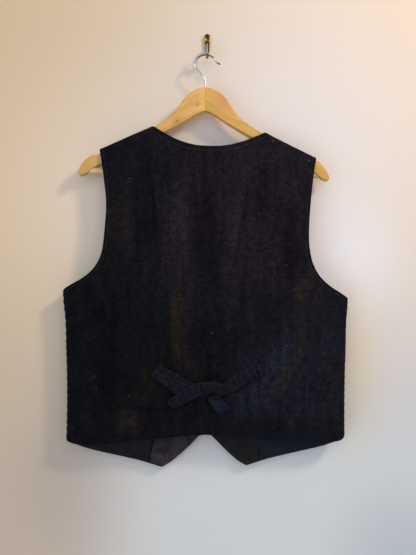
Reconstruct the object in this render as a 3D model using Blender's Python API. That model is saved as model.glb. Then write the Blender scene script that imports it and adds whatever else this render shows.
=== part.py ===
"""Waistcoat with pointed fronts, hung on a wooden hanger from a small brass wall hook.

Metres, +Z up. The wall is the plane y = 0 and +Y points into it. The origin is on the back face of
the wall hook's plate, between its two screws. The outside of the waistcoat's back faces -Y and its
fronts face the wall. The garment is a tube of cloth: each level is a flattened ring, with the side
seams and the shoulder seams lying in one upright plane above and beside the hanger.
"""
import math
from collections import namedtuple

import bmesh
import bpy
from mathutils import Matrix, Vector

GAP = 0.0003                    # air between neighbouring pieces

# --- cloth -----------------------------------------------------------------------------------------
BACK_WALL = 0.0020              # velveteen and its lining as one wall
FRONT_WALL = 0.0016             # velveteen of the fronts
LINING_WALL = 0.0010            # facings and linings of the fronts
TIE_WALL = 0.0018               # a strap turned and pressed flat
TIE_WIDTH = 0.021

# The cut, half of it, from the centre line outwards: distance from the centre and height.
Mark = namedtuple("Mark", "out height")
NECK_POINT = Mark(0.1002, -0.1702)
SHOULDER_END = Mark(0.1913, -0.2130)
UNDERARM = Mark(0.2524, -0.4618)
SIDE_SEAM = (
    Mark(0.2463, -0.7140), Mark(0.2457, -0.6500), Mark(0.2463, -0.6000),
    Mark(0.2476, -0.5600), Mark(0.2488, -0.5100), Mark(0.2518, -0.4780), UNDERARM,
)
ARMHOLE = (
    UNDERARM, Mark(0.2367, -0.4519), Mark(0.2157, -0.4391), Mark(0.1987, -0.4236),
    Mark(0.1868, -0.4030), Mark(0.1812, -0.3790), Mark(0.1790, -0.3400), Mark(0.1796, -0.3000),
    Mark(0.1838, -0.2600), Mark(0.1875, -0.2330), SHOULDER_END,
)
BACK_NECK = (
    Mark(0.0, -0.2010), Mark(0.0200, -0.2003), Mark(0.0400, -0.1966), Mark(0.0580, -0.1910),
    Mark(0.0740, -0.1840), Mark(0.0880, -0.1772), NECK_POINT,
)
BACK_HEM = (
    Mark(0.0, -0.7070), Mark(0.0450, -0.7096), Mark(0.0900, -0.7140), Mark(0.1350, -0.7178),
    Mark(0.1650, -0.7210), Mark(0.2000, -0.7235), Mark(0.2300, -0.7226), Mark(0.2410, -0.7195),
    SIDE_SEAM[0],
)
FRONT_LAP = 0.010               # each front reaches this far past the centre line
V_BOTTOM = Mark(-FRONT_LAP, -0.4000)
FRONT_POINT = Mark(0.0757, -0.7724)
FRONT_NECK = (V_BOTTOM, Mark(0.0200, -0.3450), Mark(0.0540, -0.2700), Mark(0.0830, -0.2080),
              NECK_POINT)
CUTAWAY = (
    Mark(-FRONT_LAP, -0.6970), Mark(0.0, -0.7072), Mark(0.0160, -0.7225),
    Mark(0.0370, -0.7430), Mark(0.0590, -0.7620), FRONT_POINT,
)
FRONT_HEM = (
    FRONT_POINT, Mark(0.0900, -0.7678), Mark(0.1150, -0.7600), Mark(0.1500, -0.7515),
    Mark(0.1840, -0.7435), Mark(0.2100, -0.7365), Mark(0.2300, -0.7290), Mark(0.2410, -0.7225),
    SIDE_SEAM[0],
)
FRONT_ARMHOLE_SCOOP = 0.006     # the fronts are cut this much further in at the chest

# Width of the facing, as a share of the front, from the hem up to the shoulder.
Share = namedtuple("Share", "rise share")
FACING_SHARE = (Share(0.0, 0.422), Share(0.25, 0.345), Share(0.52, 0.285), Share(1.0, 0.42))

# How the garment hangs: it has slipped along the sloping arms, so levels shift and turn a little.
Hang = namedtuple("Hang", "height shift turn_deg")
HANG = (
    Hang(-0.775, -0.0058, -1.0), Hang(-0.720, -0.0032, -0.55), Hang(-0.620, -0.0024, -0.35),
    Hang(-0.530, -0.0024, 0.1), Hang(-0.455, -0.0034, 1.7), Hang(-0.380, -0.0016, 1.1),
    Hang(-0.290, 0.0020, 0.9), Hang(-0.2136, 0.0012, 2.35), Hang(-0.165, 0.0033, 3.3),
)

# Depth of the tube at each height: the plane of the seams, and how far back and fronts stand off it.
Depth = namedtuple("Depth", "height seam back front")
DEPTH = (
    Depth(-0.775, -0.0280, 0.0165, 0.0150), Depth(-0.450, -0.0280, 0.0160, 0.0150),
    Depth(-0.280, -0.0255, 0.0140, 0.0130), Depth(-0.165, -0.0240, 0.0125, 0.0115),
)
TUBE_POWER = 3.0                # 2 is an ellipse, more is flatter with tighter sides
TUBE_GROWTH = 0.024             # above the underarm the ring would be this much wider
TUBE_GROWTH_RISE = 0.130
SHOULDER_ROLL = 0.013           # height over which the cloth turns over the arms of the hanger
LAP_LIFT = 0.0036               # the left front lies over the right one
LAP_FROM = 0.015
LAP_TO = 0.032

# The largest folds: a line down the cloth, its half width and how far it stands out (+) or in (-).
Fold = namedtuple("Fold", "x_top z_top x_low z_low half_width rise")
BACK_FOLDS = (
    Fold(-0.105, -0.215, -0.098, -0.370, 0.016, -0.0030),
    Fold(-0.052, -0.300, -0.056, -0.560, 0.022, 0.0036),
    Fold(-0.002, -0.270, 0.000, -0.440, 0.018, -0.0030),
    Fold(0.066, -0.240, 0.030, -0.450, 0.013, 0.0026),
    Fold(0.190, -0.430, 0.102, -0.640, 0.022, 0.0034),
    Fold(0.140, -0.300, 0.150, -0.430, 0.020, -0.0026),
    Fold(-0.120, -0.640, -0.150, -0.705, 0.016, 0.0024),
    Fold(-0.170, -0.470, -0.180, -0.640, 0.022, -0.0026),
)
FRONT_FOLDS = (
    Fold(0.150, -0.330, 0.130, -0.560, 0.022, 0.0026),
    Fold(0.205, -0.480, 0.150, -0.640, 0.018, -0.0022),
)

# --- grids over the panels -------------------------------------------------------------------------
ROWS_BELOW_ARM = 9
ARM_ROW = 0.52                  # share of the panel's rise at which the underarm lies
ARM_ROWS = (0.52, 0.553, 0.588, 0.626, 0.668, 0.716, 0.770, 0.828, 0.886, 0.936)
ROLL_ROWS = (0.966, 0.983, 0.9925, 0.9974, 0.9994, 1.0)     # close rows where the cloth turns over
BACK_COLUMNS = (0.0, 0.09, 0.18, 0.27, 0.36, 0.44, 0.51, NECK_POINT.out / SHOULDER_END.out, 0.59,
                0.66, 0.735, 0.81, 0.88, 0.93, 0.965, 0.988, 1.0)
LINING_COLUMNS = (0.0, 0.14, 0.28, 0.42, 0.56, 0.70, 0.81, 0.89, 0.945, 0.982, 1.0)

# --- back belt: stations along each strap, how far it is lifted off the back -----------------------
Station = namedtuple("Station", "x z lift width")
TIE_LIFT = 0.0012
TIES = {
    "tie_left": (
        Station(-0.0885, -0.5925, TIE_LIFT, 0.0240), Station(-0.0610, -0.6120, TIE_LIFT, 0.0290),
        Station(-0.0310, -0.6290, TIE_LIFT, 0.0290), Station(0.0080, -0.6320, TIE_LIFT, 0.0190),
    ),
    "tie_right": (
        Station(0.0960, -0.5940, TIE_LIFT, 0.0225), Station(0.0700, -0.6055, 0.0020, 0.0255),
        Station(0.0400, -0.6225, 0.0040, 0.0220), Station(0.0165, -0.6300, 0.0054, 0.0160),
    ),
    "tie_band": (
        Station(0.0235, -0.6235, 0.0086, 0.0150), Station(0.0020, -0.6235, 0.0086, 0.0200),
        Station(-0.0170, -0.6280, 0.0070, 0.0220), Station(-0.0370, -0.6385, 0.0048, 0.0215),
        Station(-0.0520, -0.6475, 0.0033, 0.0190), Station(-0.0630, -0.6550, 0.0018, 0.0170),
    ),
    "tie_tail": (
        Station(0.0100, -0.6385, 0.0036, 0.0150), Station(0.0155, -0.6445, 0.0033, 0.0180),
        Station(0.0225, -0.6540, 0.0018, 0.0200), Station(0.0310, -0.6655, 0.0014, 0.0205),
    ),
}
TIE_STEPS = 4                   # stretches between two stations
TIE_CROSS = 2

# --- buttons ---------------------------------------------------------------------------------------
BUTTON_RADIUS = 0.0075
BUTTON_HEIGHT = 0.0024
BUTTON_HEIGHTS = (-0.420, -0.508, -0.596, -0.684)
BUTTON_CLEAR = 0.0006

# --- hanger, in its own frame: the top of its head is its origin, then turned and set in place ------
HANGER_AT = Vector((-0.0029, -0.0240, -0.0960))
HANGER_TURN_DEG = 1.25
ARM_THICK = 0.0150
ARM_EDGE = 0.0035
HEAD_TOP = (
    Mark(0.0, 0.0), Mark(0.0080, -0.0006), Mark(0.0150, -0.0029), Mark(0.0270, -0.0100),
    Mark(0.0370, -0.0192), Mark(0.0440, -0.0294), Mark(0.0518, -0.0408), Mark(0.0625, -0.0530),
    Mark(0.0770, -0.0640), Mark(0.0915, -0.0732), Mark(0.1036, -0.0800),
)
ARM_END = (
    Mark(0.1835, -0.1184), Mark(0.1860, -0.1218), Mark(0.1920, -0.1246), Mark(0.1945, -0.1236),
    Mark(0.1985, -0.1250), Mark(0.2060, -0.1290), Mark(0.2125, -0.1350), Mark(0.2172, -0.1420),
    Mark(0.2205, -0.1490), Mark(0.2226, -0.1560), Mark(0.2200, -0.1603), Mark(0.2120, -0.1588),
    Mark(0.2060, -0.1552), Mark(0.2000, -0.1500), Mark(0.1940, -0.1462),
)
ARM_BELOW = (
    Mark(0.1860, -0.1412), Mark(0.0800, -0.0858), Mark(0.0500, -0.0690), Mark(0.0350, -0.0600),
    Mark(0.0200, -0.0505), Mark(0.0080, -0.0440), Mark(0.0, -0.0422),
)
BAR_RADIUS = 0.0057
BAR_HALF = 0.2065
BAR_HEIGHT = -0.1500
SOCKET_HALF = 0.2080
BAR_SIDES = 24

WIRE_RADIUS = 0.0014
WIRE_SIDES = 12
LOOP_AT = Mark(-0.0009, 0.0402)
LOOP_RADIUS = 0.0200
LOOP_STEPS = 12
STEM_DEEP = 0.0220
BORE_DEEP = 0.0235

# --- wall hook -------------------------------------------------------------------------------------
PLATE_THICK = 0.0030
PLATE_TOP = Mark(0.00585, 0.0050)       # radius and centre height of the plate's round top
PLATE_FOOT = Mark(0.0042, -0.0180)      # the same for its foot
PLATE_ARC_STEPS = 10
PRONG_RADIUS = 0.0025
PRONG_SIDES = 14
TROUGH_RADIUS = 0.0074
TROUGH_FLOOR = -0.0404                  # centre line of the prong at its lowest
PRONG_ROOT = -0.0165
PRONG_TIP = -0.0190
SCREW_HEIGHT = 0.0064
SCREW_HEAD = 0.0033
SCREW_SHANK = 0.0016


def clear_scene():
    for old in list(bpy.data.objects):
        bpy.data.objects.remove(old, do_unlink=True)


def make_material(name, colour, roughness, metallic=0.0):
    material = bpy.data.materials.new(name)
    material.use_nodes = True
    shader = material.node_tree.nodes["Principled BSDF"]
    shader.inputs["Base Color"].default_value = (*colour, 1.0)
    shader.inputs["Roughness"].default_value = roughness
    shader.inputs["Metallic"].default_value = metallic
    material.diffuse_color = (*colour, 1.0)
    return material


def add_object(name, mesh, material, parent=None, smooth_deg=None):
    item = bpy.data.objects.new(name, mesh)
    mesh.materials.append(material)
    bpy.context.scene.collection.objects.link(item)
    item.parent = parent
    if smooth_deg is not None:
        mesh.shade_smooth()
        mesh.set_sharp_from_angle(angle=math.radians(smooth_deg))
    return item


def mesh_from(name, builder):
    """Finish a bmesh as one closed mesh with its faces turned outwards."""
    bmesh.ops.recalc_face_normals(builder, faces=builder.faces)
    mesh = bpy.data.meshes.new(name)
    builder.to_mesh(mesh)
    builder.free()
    return mesh


# --- curves and tables -----------------------------------------------------------------------------
def ease(share):
    share = min(max(share, 0.0), 1.0)
    return share * share * (3.0 - 2.0 * share)


def read_table(table, key):
    """Ease from row to row of a table whose first column rises; give its other columns."""
    if key <= table[0][0]:
        return table[0][1:]
    for low, high in zip(table, table[1:]):
        if key <= high[0]:
            share = ease((key - low[0]) / (high[0] - low[0]))
            return tuple(a + (b - a) * share for a, b in zip(low[1:], high[1:]))
    return table[-1][1:]


def smooth_line(points):
    """A smooth curve through points, as a function of the share of its length."""
    points = [Vector(point) for point in points]
    marks = [0.0]
    for a, b in zip(points, points[1:]):
        marks.append(marks[-1] + (b - a).length)
    last = len(points) - 1
    slopes = []
    for index in range(last + 1):
        low, high = max(index - 1, 0), min(index + 1, last)
        slopes.append((points[high] - points[low]) / (marks[high] - marks[low]))

    def at(share):
        reach = min(max(share, 0.0), 1.0) * marks[-1]
        index = next((i for i in range(last) if reach <= marks[i + 1]), last - 1)
        span = marks[index + 1] - marks[index]
        t = (reach - marks[index]) / span
        return (points[index] * (2 * t**3 - 3 * t**2 + 1) + slopes[index] * span * (t**3 - 2 * t**2 + t)
                + points[index + 1] * (3 * t**2 - 2 * t**3) + slopes[index + 1] * span * (t**3 - t**2))
    return at


def by_distance(table):
    """The height of an edge as a function of the distance from the centre, which rises."""
    def at(out):
        for low, high, before, after in zip(table, table[1:], (table[0], *table), (*table[2:], table[-1])):
            if out <= high.out:
                span = high.out - low.out
                t = (out - low.out) / span
                slope_low = (high.height - before.height) / (high.out - before.out)
                slope_high = (after.height - low.height) / (after.out - low.out)
                return (low.height * (2 * t**3 - 3 * t**2 + 1) + slope_low * span * (t**3 - 2 * t**2 + t)
                        + high.height * (3 * t**2 - 2 * t**3) + slope_high * span * (t**3 - t**2))
        return table[-1].height
    return at


side_line = smooth_line(SIDE_SEAM)
armhole_line = smooth_line(ARMHOLE)
back_neck_line = by_distance(BACK_NECK)
back_hem_line = by_distance(BACK_HEM)
front_neck_line = smooth_line(FRONT_NECK)
cutaway_line = by_distance(CUTAWAY)
front_hem_line = by_distance(FRONT_HEM)


# --- the form of the cloth tube --------------------------------------------------------------------
def side_half_width(height):
    """Half the width of the garment between the hem and the underarm."""
    low, high = 0.0, 1.0
    for _ in range(24):
        middle = (low + high) / 2
        if side_line(middle)[1] < height:
            low = middle
        else:
            high = middle
    return side_line(low)[0]


def tube_half_width(height):
    if height <= UNDERARM.height:
        return side_half_width(height)
    return UNDERARM.out + TUBE_GROWTH * ease((height - UNDERARM.height) / TUBE_GROWTH_RISE)


def rounding(share):
    """1 in the middle of a flattened ring, 0 at its edge."""
    return max(1.0 - min(abs(share), 1.0) ** TUBE_POWER, 0.0) ** (1.0 / TUBE_POWER)


def shoulder_turn(x, z):
    """0 on the shoulder seam, 1 below the stretch that rolls over the hanger's arm."""
    slope = (SHOULDER_END.height - NECK_POINT.height) / (SHOULDER_END.out - NECK_POINT.out)
    crest = NECK_POINT.height + (abs(x) - NECK_POINT.out) * slope
    return rounding(1.0 - min(max((crest - z) / SHOULDER_ROLL, 0.0), 1.0))


def fold_rise(folds, x, z):
    total = 0.0
    for fold in folds:
        top = Vector((fold.x_top, fold.z_top))
        run = Vector((fold.x_low, fold.z_low)) - top
        along = (Vector((x, z)) - top).dot(run) / run.length_squared
        across = (Vector((x, z)) - top - run * along).length / fold.half_width
        fade = ease(min(along, 1.0 - along) * 3.0 + 0.5)
        total += fold.rise * fade * math.exp(-across * across)
    return total


def hang(x, y, z):
    """Put a point of the cut where it hangs."""
    shift, turn_deg = read_table(HANG, z)
    return Vector((x + shift, y, z - x * math.tan(math.radians(turn_deg))))


def back_point(x, z, lift=0.0):
    seam, depth, _ = read_table(DEPTH, z)
    swell = rounding(x / tube_half_width(z)) * shoulder_turn(x, z)
    out = (depth + fold_rise(BACK_FOLDS, x, z)) * swell + GAP / 2 + lift
    return hang(x, seam - out, z)


def front_point(hand, x, z):
    """A point of a front; hand is -1 for the wearer's left, x runs from the centre to the side."""
    seam, _, depth = read_table(DEPTH, z)
    swell = rounding(x / tube_half_width(z)) * shoulder_turn(x, z)
    lap = LAP_LIFT * (1.0 - ease((x - LAP_FROM) / (LAP_TO - LAP_FROM))) if hand < 0 else 0.0
    out = (depth + fold_rise(FRONT_FOLDS, x, z)) * swell + GAP / 2 + lap
    return hang(hand * x, seam + out, z)


# --- panels ----------------------------------------------------------------------------------------
def row_shares():
    below = [ARM_ROW * i / ROWS_BELOW_ARM for i in range(ROWS_BELOW_ARM)]
    return below + list(ARM_ROWS + ROLL_ROWS)


def outer_edge(rise, scoop=0.0):
    """Side seam and armhole, as one edge from the hem up to the shoulder."""
    if rise <= ARM_ROW:
        return side_line(rise / ARM_ROW)
    share = (rise - ARM_ROW) / (1.0 - ARM_ROW)
    return armhole_line(share) - Vector((scoop * math.sin(math.pi * share) ** 2, 0.0))


def fill_between(low, top, inner, outer, u, v):
    """Fill a four-sided outline: low and top run with u, inner and outer with v."""
    corners = (low(0) * ((1 - u) * (1 - v)) + low(1) * (u * (1 - v))
               + top(0) * ((1 - u) * v) + top(1) * (u * v))
    return low(u) * (1 - v) + top(u) * v + inner(v) * (1 - u) + outer(v) * u - corners


def back_cut(u, v):
    """Point of the back's right half."""
    foot, neck = BACK_HEM[0], BACK_NECK[0]

    def low(share):
        out = SIDE_SEAM[0].out * share
        return Vector((out, back_hem_line(out)))

    def top(share):
        out = SHOULDER_END.out * share
        if out <= NECK_POINT.out:
            return Vector((out, back_neck_line(out)))
        along = (out - NECK_POINT.out) / (SHOULDER_END.out - NECK_POINT.out)
        return Vector(NECK_POINT).lerp(Vector(SHOULDER_END), along)

    def inner(rise):
        return Vector((0.0, foot.height + (neck.height - foot.height) * rise))

    return fill_between(low, top, inner, outer_edge, u, v)


def front_cut(u, v):
    """Point of a front, from its front edge to the side."""
    def low(share):
        out = -FRONT_LAP + (SIDE_SEAM[0].out + FRONT_LAP) * share
        return Vector((out, cutaway_line(out) if out < FRONT_POINT.out else front_hem_line(out)))

    def top(share):
        return Vector(NECK_POINT).lerp(Vector(SHOULDER_END), share)

    def inner(rise):
        if rise <= ARM_ROW:
            return Vector(CUTAWAY[0]).lerp(Vector(V_BOTTOM), rise / ARM_ROW)
        return front_neck_line((rise - ARM_ROW) / (1.0 - ARM_ROW))

    def outer(rise):
        return outer_edge(rise, FRONT_ARMHOLE_SCOOP)

    return fill_between(low, top, inner, outer, u, v)


def with_normals(points, mirrored_columns, mirrored_top):
    """Pair each point with the cloth's normal; over a seam the cloth goes on as its own mirror image."""
    rows, columns = len(points), len(points[0])

    def neighbour(row, column, row_step, column_step):
        at = points[row][column]
        if 0 <= row + row_step < rows and 0 <= column + column_step < columns:
            return points[row + row_step][column + column_step]
        on_side_seam = column_step and column in mirrored_columns and row <= ROWS_BELOW_ARM
        on_shoulder = row_step > 0 and mirrored_top(row, column)
        if on_side_seam or on_shoulder:
            other = points[row - row_step][column - column_step]
            return Vector((other.x, 2 * at.y - other.y, other.z))
        return at

    grid = []
    for row in range(rows):
        line = []
        for column in range(columns):
            across = neighbour(row, column, 0, 1) - neighbour(row, column, 0, -1)
            up = neighbour(row, column, 1, 0) - neighbour(row, column, -1, 0)
            line.append((points[row][column], across.cross(up).normalized()))
        grid.append(line)
    return grid


def wall_mesh(name, grid, inner, outer):
    """A closed wall over a grid of points and normals, between two distances from it."""
    builder = bmesh.new()
    layers = []
    for distance in (inner, outer):
        layers.append([[builder.verts.new(at + normal * distance) for at, normal in line] for line in grid])
    rows, columns = len(grid), len(grid[0])
    for layer in layers:
        for row in range(rows - 1):
            for column in range(columns - 1):
                builder.faces.new((layer[row][column], layer[row][column + 1],
                                   layer[row + 1][column + 1], layer[row + 1][column]))
    rim = [(0, c) for c in range(columns)] + [(r, columns - 1) for r in range(1, rows)]
    rim += [(rows - 1, c) for c in range(columns - 2, -1, -1)] + [(r, 0) for r in range(rows - 2, 0, -1)]
    for (r0, c0), (r1, c1) in zip(rim, rim[1:] + rim[:1]):
        builder.faces.new((layers[0][r0][c0], layers[0][r1][c1], layers[1][r1][c1], layers[1][r0][c0]))
    bmesh.ops.triangulate(builder, faces=builder.faces)
    return mesh_from(name, builder)


def make_back(cloth):
    shares = [-u for u in reversed(BACK_COLUMNS[1:])] + list(BACK_COLUMNS)
    points = []
    for v in row_shares():
        line = []
        for u in shares:
            out, height = back_cut(abs(u), v)
            line.append(back_point(math.copysign(out, u), height))
        points.append(line)
    last = len(shares) - 1
    on_shoulder = [abs(u) * SHOULDER_END.out >= NECK_POINT.out for u in shares]
    grid = with_normals(points, (0, last), lambda row, column: on_shoulder[column])
    mesh = wall_mesh("back", grid, -BACK_WALL / 2, BACK_WALL / 2)
    add_object("back", mesh, cloth, smooth_deg=60)


def front_columns(v):
    """Columns of a front: four over the facing, one of them on the point, then the lining's."""
    edge = read_table(FACING_SHARE, v)[0]
    on_point = (FRONT_POINT.out + FRONT_LAP) / (SIDE_SEAM[0].out + FRONT_LAP) / FACING_SHARE[0].share
    facing = [edge * share for share in (0.0, on_point / 3, on_point * 2 / 3, on_point, 1.0)]
    lining = [edge + (1.0 - edge) * share for share in LINING_COLUMNS]
    return facing, lining


def make_front(name, hand, cloth, facing_cloth, lining_cloth):
    points = []
    for v in row_shares():
        facing, lining = front_columns(v)
        line = []
        for u in facing + lining[1:]:
            out, height = front_cut(u, v)
            line.append(front_point(hand, out, height))
        points.append(line)
    last = len(points[0]) - 1
    grid = with_normals(points, (last,), lambda row, column: True)
    if hand > 0:
        grid = [[(at, -normal) for at, normal in line] for line in grid]
    shell = wall_mesh(name, grid, -FRONT_WALL / 2, FRONT_WALL / 2)
    add_object(name, shell, cloth, smooth_deg=60)
    division = len(facing) - 1
    outer = -FRONT_WALL / 2 - GAP
    inner = outer - LINING_WALL
    strips = (("facing", slice(0, division + 1), -1, facing_cloth),
              ("lining", slice(division, last + 1), 0, lining_cloth))
    for kind, columns, seam_column, strip_cloth in strips:
        strip = [draw_in(line[columns], seam_column) for line in grid]
        mesh = wall_mesh(f"{name}_{kind}", strip, inner, outer)
        add_object(f"{name}_{kind}", mesh, strip_cloth, smooth_deg=60)


def draw_in(line, seam_column):
    """Move a row's point at the inner seam half a gap into its own strip."""
    line = list(line)
    at, normal = line[seam_column]
    beside = line[1 if seam_column == 0 else -2][0]
    line[seam_column] = (at + (beside - at).normalized() * (GAP / 2), normal)
    return line


def make_tie(name, stations, cloth):
    route = smooth_line(stations)
    steps = TIE_STEPS * (len(stations) - 1)
    grid = []
    for step in range(steps + 1):
        here = route(step / steps)
        ahead = route((step + 0.5) / steps) - route((step - 0.5) / steps)
        side = Vector((-ahead[1], ahead[0])).normalized()
        line = []
        for cross in range(TIE_CROSS + 1):
            offset = (cross / TIE_CROSS - 0.5) * here[3]
            x, z = here[0] + side[0] * offset, here[1] + side[1] * offset
            line.append((back_point(x, z, BACK_WALL / 2 + here[2]), Vector((0.0, -1.0, 0.0))))
        grid.append(line)
    mesh = wall_mesh(name, grid, 0.0, TIE_WALL)
    add_object(name, mesh, cloth, smooth_deg=60)


# --- turned and bent pieces ------------------------------------------------------------------------
def lathe_mesh(name, profile, sides):
    """Turn (radius, height) points about Z; the first and last lie on the axis."""
    builder = bmesh.new()
    foot = builder.verts.new((0.0, 0.0, profile[0][1]))
    head = builder.verts.new((0.0, 0.0, profile[-1][1]))
    rings = []
    for radius, height in profile[1:-1]:
        ring = []
        for side in range(sides):
            angle = math.tau * side / sides
            ring.append(builder.verts.new((radius * math.cos(angle), radius * math.sin(angle), height)))
        rings.append(ring)
    for side in range(sides):
        after = (side + 1) % sides
        builder.faces.new((foot, rings[0][after], rings[0][side]))
        builder.faces.new((head, rings[-1][side], rings[-1][after]))
        for low, high in zip(rings, rings[1:]):
            builder.faces.new((low[side], low[after], high[after], high[side]))
    return mesh_from(name, builder)


def bent_rod_mesh(name, route, flat_normal, radius, sides):
    """A round rod along a route that lies in one plane."""
    builder = bmesh.new()
    rings = []
    for index, at in enumerate(route):
        ahead = route[min(index + 1, len(route) - 1)] - route[max(index - 1, 0)]
        outward = ahead.cross(flat_normal).normalized()
        ring = []
        for side in range(sides):
            angle = math.tau * side / sides
            spoke = flat_normal * math.cos(angle) + outward * math.sin(angle)
            ring.append(builder.verts.new(at + spoke * radius))
        rings.append(ring)
    for low, high in zip(rings, rings[1:]):
        for side in range(sides):
            after = (side + 1) % sides
            builder.faces.new((low[side], low[after], high[after], high[side]))
    builder.faces.new(rings[0])
    builder.faces.new(rings[-1])
    return mesh_from(name, builder)


def slab_mesh(name, outline, y_low, y_high, edge, bevelled):
    """An outline in the XZ plane, thickened along Y, with the chosen rim edges rounded."""
    builder = bmesh.new()
    near = [builder.verts.new((x, y_low, z)) for x, z in outline]
    far = [builder.verts.new((x, y_high, z)) for x, z in outline]
    builder.faces.new(near)
    builder.faces.new(far)
    count = len(outline)
    for index in range(count):
        after = (index + 1) % count
        builder.faces.new((near[index], near[after], far[after], far[index]))
    bmesh.ops.recalc_face_normals(builder, faces=builder.faces)
    rims = []
    for line in builder.edges:
        a, b = (vert.co for vert in line.verts)
        if abs(a.y - b.y) < GAP and bevelled(a, b):
            rims.append(line)
    bmesh.ops.bevel(builder, geom=rims, offset=edge, segments=3, profile=0.5, affect="EDGES",
                    clamp_overlap=True)
    return mesh_from(name, builder)


def cut_away(item, cutter_mesh, parent=None):
    """Subtract a hidden cutter from an object."""
    return combine(item, cutter_mesh, "DIFFERENCE", parent)


def combine(item, tool_mesh, operation, parent=None):
    tool = bpy.data.objects.new(tool_mesh.name, tool_mesh)
    bpy.context.scene.collection.objects.link(tool)
    tool.parent = parent
    tool.hide_render = True
    tool.display_type = "WIRE"
    step = item.modifiers.new(operation.title(), "BOOLEAN")
    step.operation = operation
    step.object = tool
    return tool


def make_buttons(material):
    rim = BUTTON_RADIUS
    top = BUTTON_HEIGHT
    profile = ((0.0, 0.0), (rim * 0.80, 0.0), (rim, top * 0.35), (rim, top * 0.60),
               (rim * 0.92, top * 0.95), (rim * 0.76, top), (rim * 0.66, top * 0.78), (0.0, top * 0.72))
    for number, height in enumerate(BUTTON_HEIGHTS, start=1):
        mesh = lathe_mesh(f"button_{number}", profile, 20)
        button = add_object(f"button_{number}", mesh, material, smooth_deg=35)
        seat = front_point(-1, 0.0, height)
        button.location = seat + Vector((0.0, FRONT_WALL / 2 + BUTTON_CLEAR, 0.0))
        button.rotation_euler = (math.radians(-90), 0.0, 0.0)


# --- hanger ----------------------------------------------------------------------------------------
def arm_outline(hand):
    half = GAP / 2
    marks = [*HEAD_TOP, *ARM_END, *ARM_BELOW]
    return [(hand * max(mark.out, half), mark.height) for mark in marks]


def bar_mesh(name, radius, half_length):
    mesh = lathe_mesh(name, ((0.0, -half_length), (radius, -half_length), (radius, half_length),
                             (0.0, half_length)), BAR_SIDES)
    mesh.transform(Matrix.Translation((0.0, 0.0, BAR_HEIGHT)) @ Matrix.Rotation(math.radians(90), 4, "Y"))
    return mesh


def bore_mesh(name):
    radius = WIRE_RADIUS + GAP
    return lathe_mesh(name, ((0.0, -BORE_DEEP), (radius, -BORE_DEEP), (radius, 0.01), (0.0, 0.01)),
                      WIRE_SIDES * 2)


def hook_route():
    """Up out of the head, out to the left, round over the top and down to a flared end."""
    centre = Vector((LOOP_AT.out, 0.0, LOOP_AT.height))
    route = [Vector((0.0, 0.0, -STEM_DEEP)), Vector((0.0, 0.0, 0.0)), Vector((-0.0010, 0.0, 0.0100)),
             Vector((-0.0032, 0.0, 0.0182)), Vector((-0.0110, 0.0, 0.0280)),
             Vector((-0.0185, 0.0, 0.0362))]
    for step in range(LOOP_STEPS + 1):
        angle = math.radians(180 - 152 * step / LOOP_STEPS)
        route.append(centre + Vector((math.cos(angle), 0.0, math.sin(angle))) * LOOP_RADIUS)
    route.append(centre + Vector((0.0215, 0.0, 0.0062)))
    route.append(centre + Vector((0.0262, 0.0, 0.0030)))
    return route


def make_hanger(left_wood, right_wood, bar_wood, wire):
    frame = bpy.data.objects.new("hanger_frame", None)
    bpy.context.scene.collection.objects.link(frame)
    frame.location = HANGER_AT
    frame.rotation_euler = (0.0, math.radians(HANGER_TURN_DEG), 0.0)

    def off_the_joint(a, b):
        return max(abs(a.x), abs(b.x)) > GAP

    for name, hand, wood in (("hanger_arm_left", -1, left_wood), ("hanger_arm_right", 1, right_wood)):
        mesh = slab_mesh(name, arm_outline(hand), -ARM_THICK / 2, ARM_THICK / 2, ARM_EDGE, off_the_joint)
        arm = add_object(name, mesh, wood, frame, smooth_deg=35)
        cut_away(arm, bar_mesh(f"socket_{name}", BAR_RADIUS + GAP, SOCKET_HALF), frame)
        cut_away(arm, bore_mesh(f"bore_{name}"), frame)
    add_object("hanger_bar", bar_mesh("hanger_bar", BAR_RADIUS, BAR_HALF), bar_wood, frame, smooth_deg=35)
    mesh = bent_rod_mesh("hanger_hook", hook_route(), Vector((0.0, 1.0, 0.0)), WIRE_RADIUS, WIRE_SIDES)
    add_object("hanger_hook", mesh, wire, frame, smooth_deg=50)


# --- wall hook -------------------------------------------------------------------------------------
def plate_outline():
    points = []
    for radius, height, start in ((PLATE_TOP.out, PLATE_TOP.height, 0.0),
                                  (PLATE_FOOT.out, PLATE_FOOT.height, math.pi)):
        for step in range(PLATE_ARC_STEPS + 1):
            angle = start + math.pi * step / PLATE_ARC_STEPS
            points.append((radius * math.cos(angle), height + radius * math.sin(angle)))
    return points


def prong_route():
    """Out of the plate, down, round under the wire and up in front of it."""
    middle = HANGER_AT.y
    floor = TROUGH_FLOOR + TROUGH_RADIUS
    rear = middle + TROUGH_RADIUS
    route = [Vector((0.0, -PLATE_THICK / 2, PRONG_ROOT)),
             Vector((0.0, (rear - PLATE_THICK) / 2 - 0.0010, PRONG_ROOT - 0.0006)),
             Vector((0.0, rear + 0.0022, PRONG_ROOT - 0.0026)),
             Vector((0.0, rear + 0.0003, PRONG_ROOT - 0.0070))]
    for step in range(13):
        angle = math.pi * step / 12
        route.append(Vector((0.0, middle + TROUGH_RADIUS * math.cos(angle),
                             floor - TROUGH_RADIUS * math.sin(angle))))
    route.append(Vector((0.0, middle - TROUGH_RADIUS - 0.0004, (floor + PRONG_TIP) / 2)))
    route.append(Vector((0.0, middle - TROUGH_RADIUS - 0.0012, PRONG_TIP)))
    return route


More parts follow.
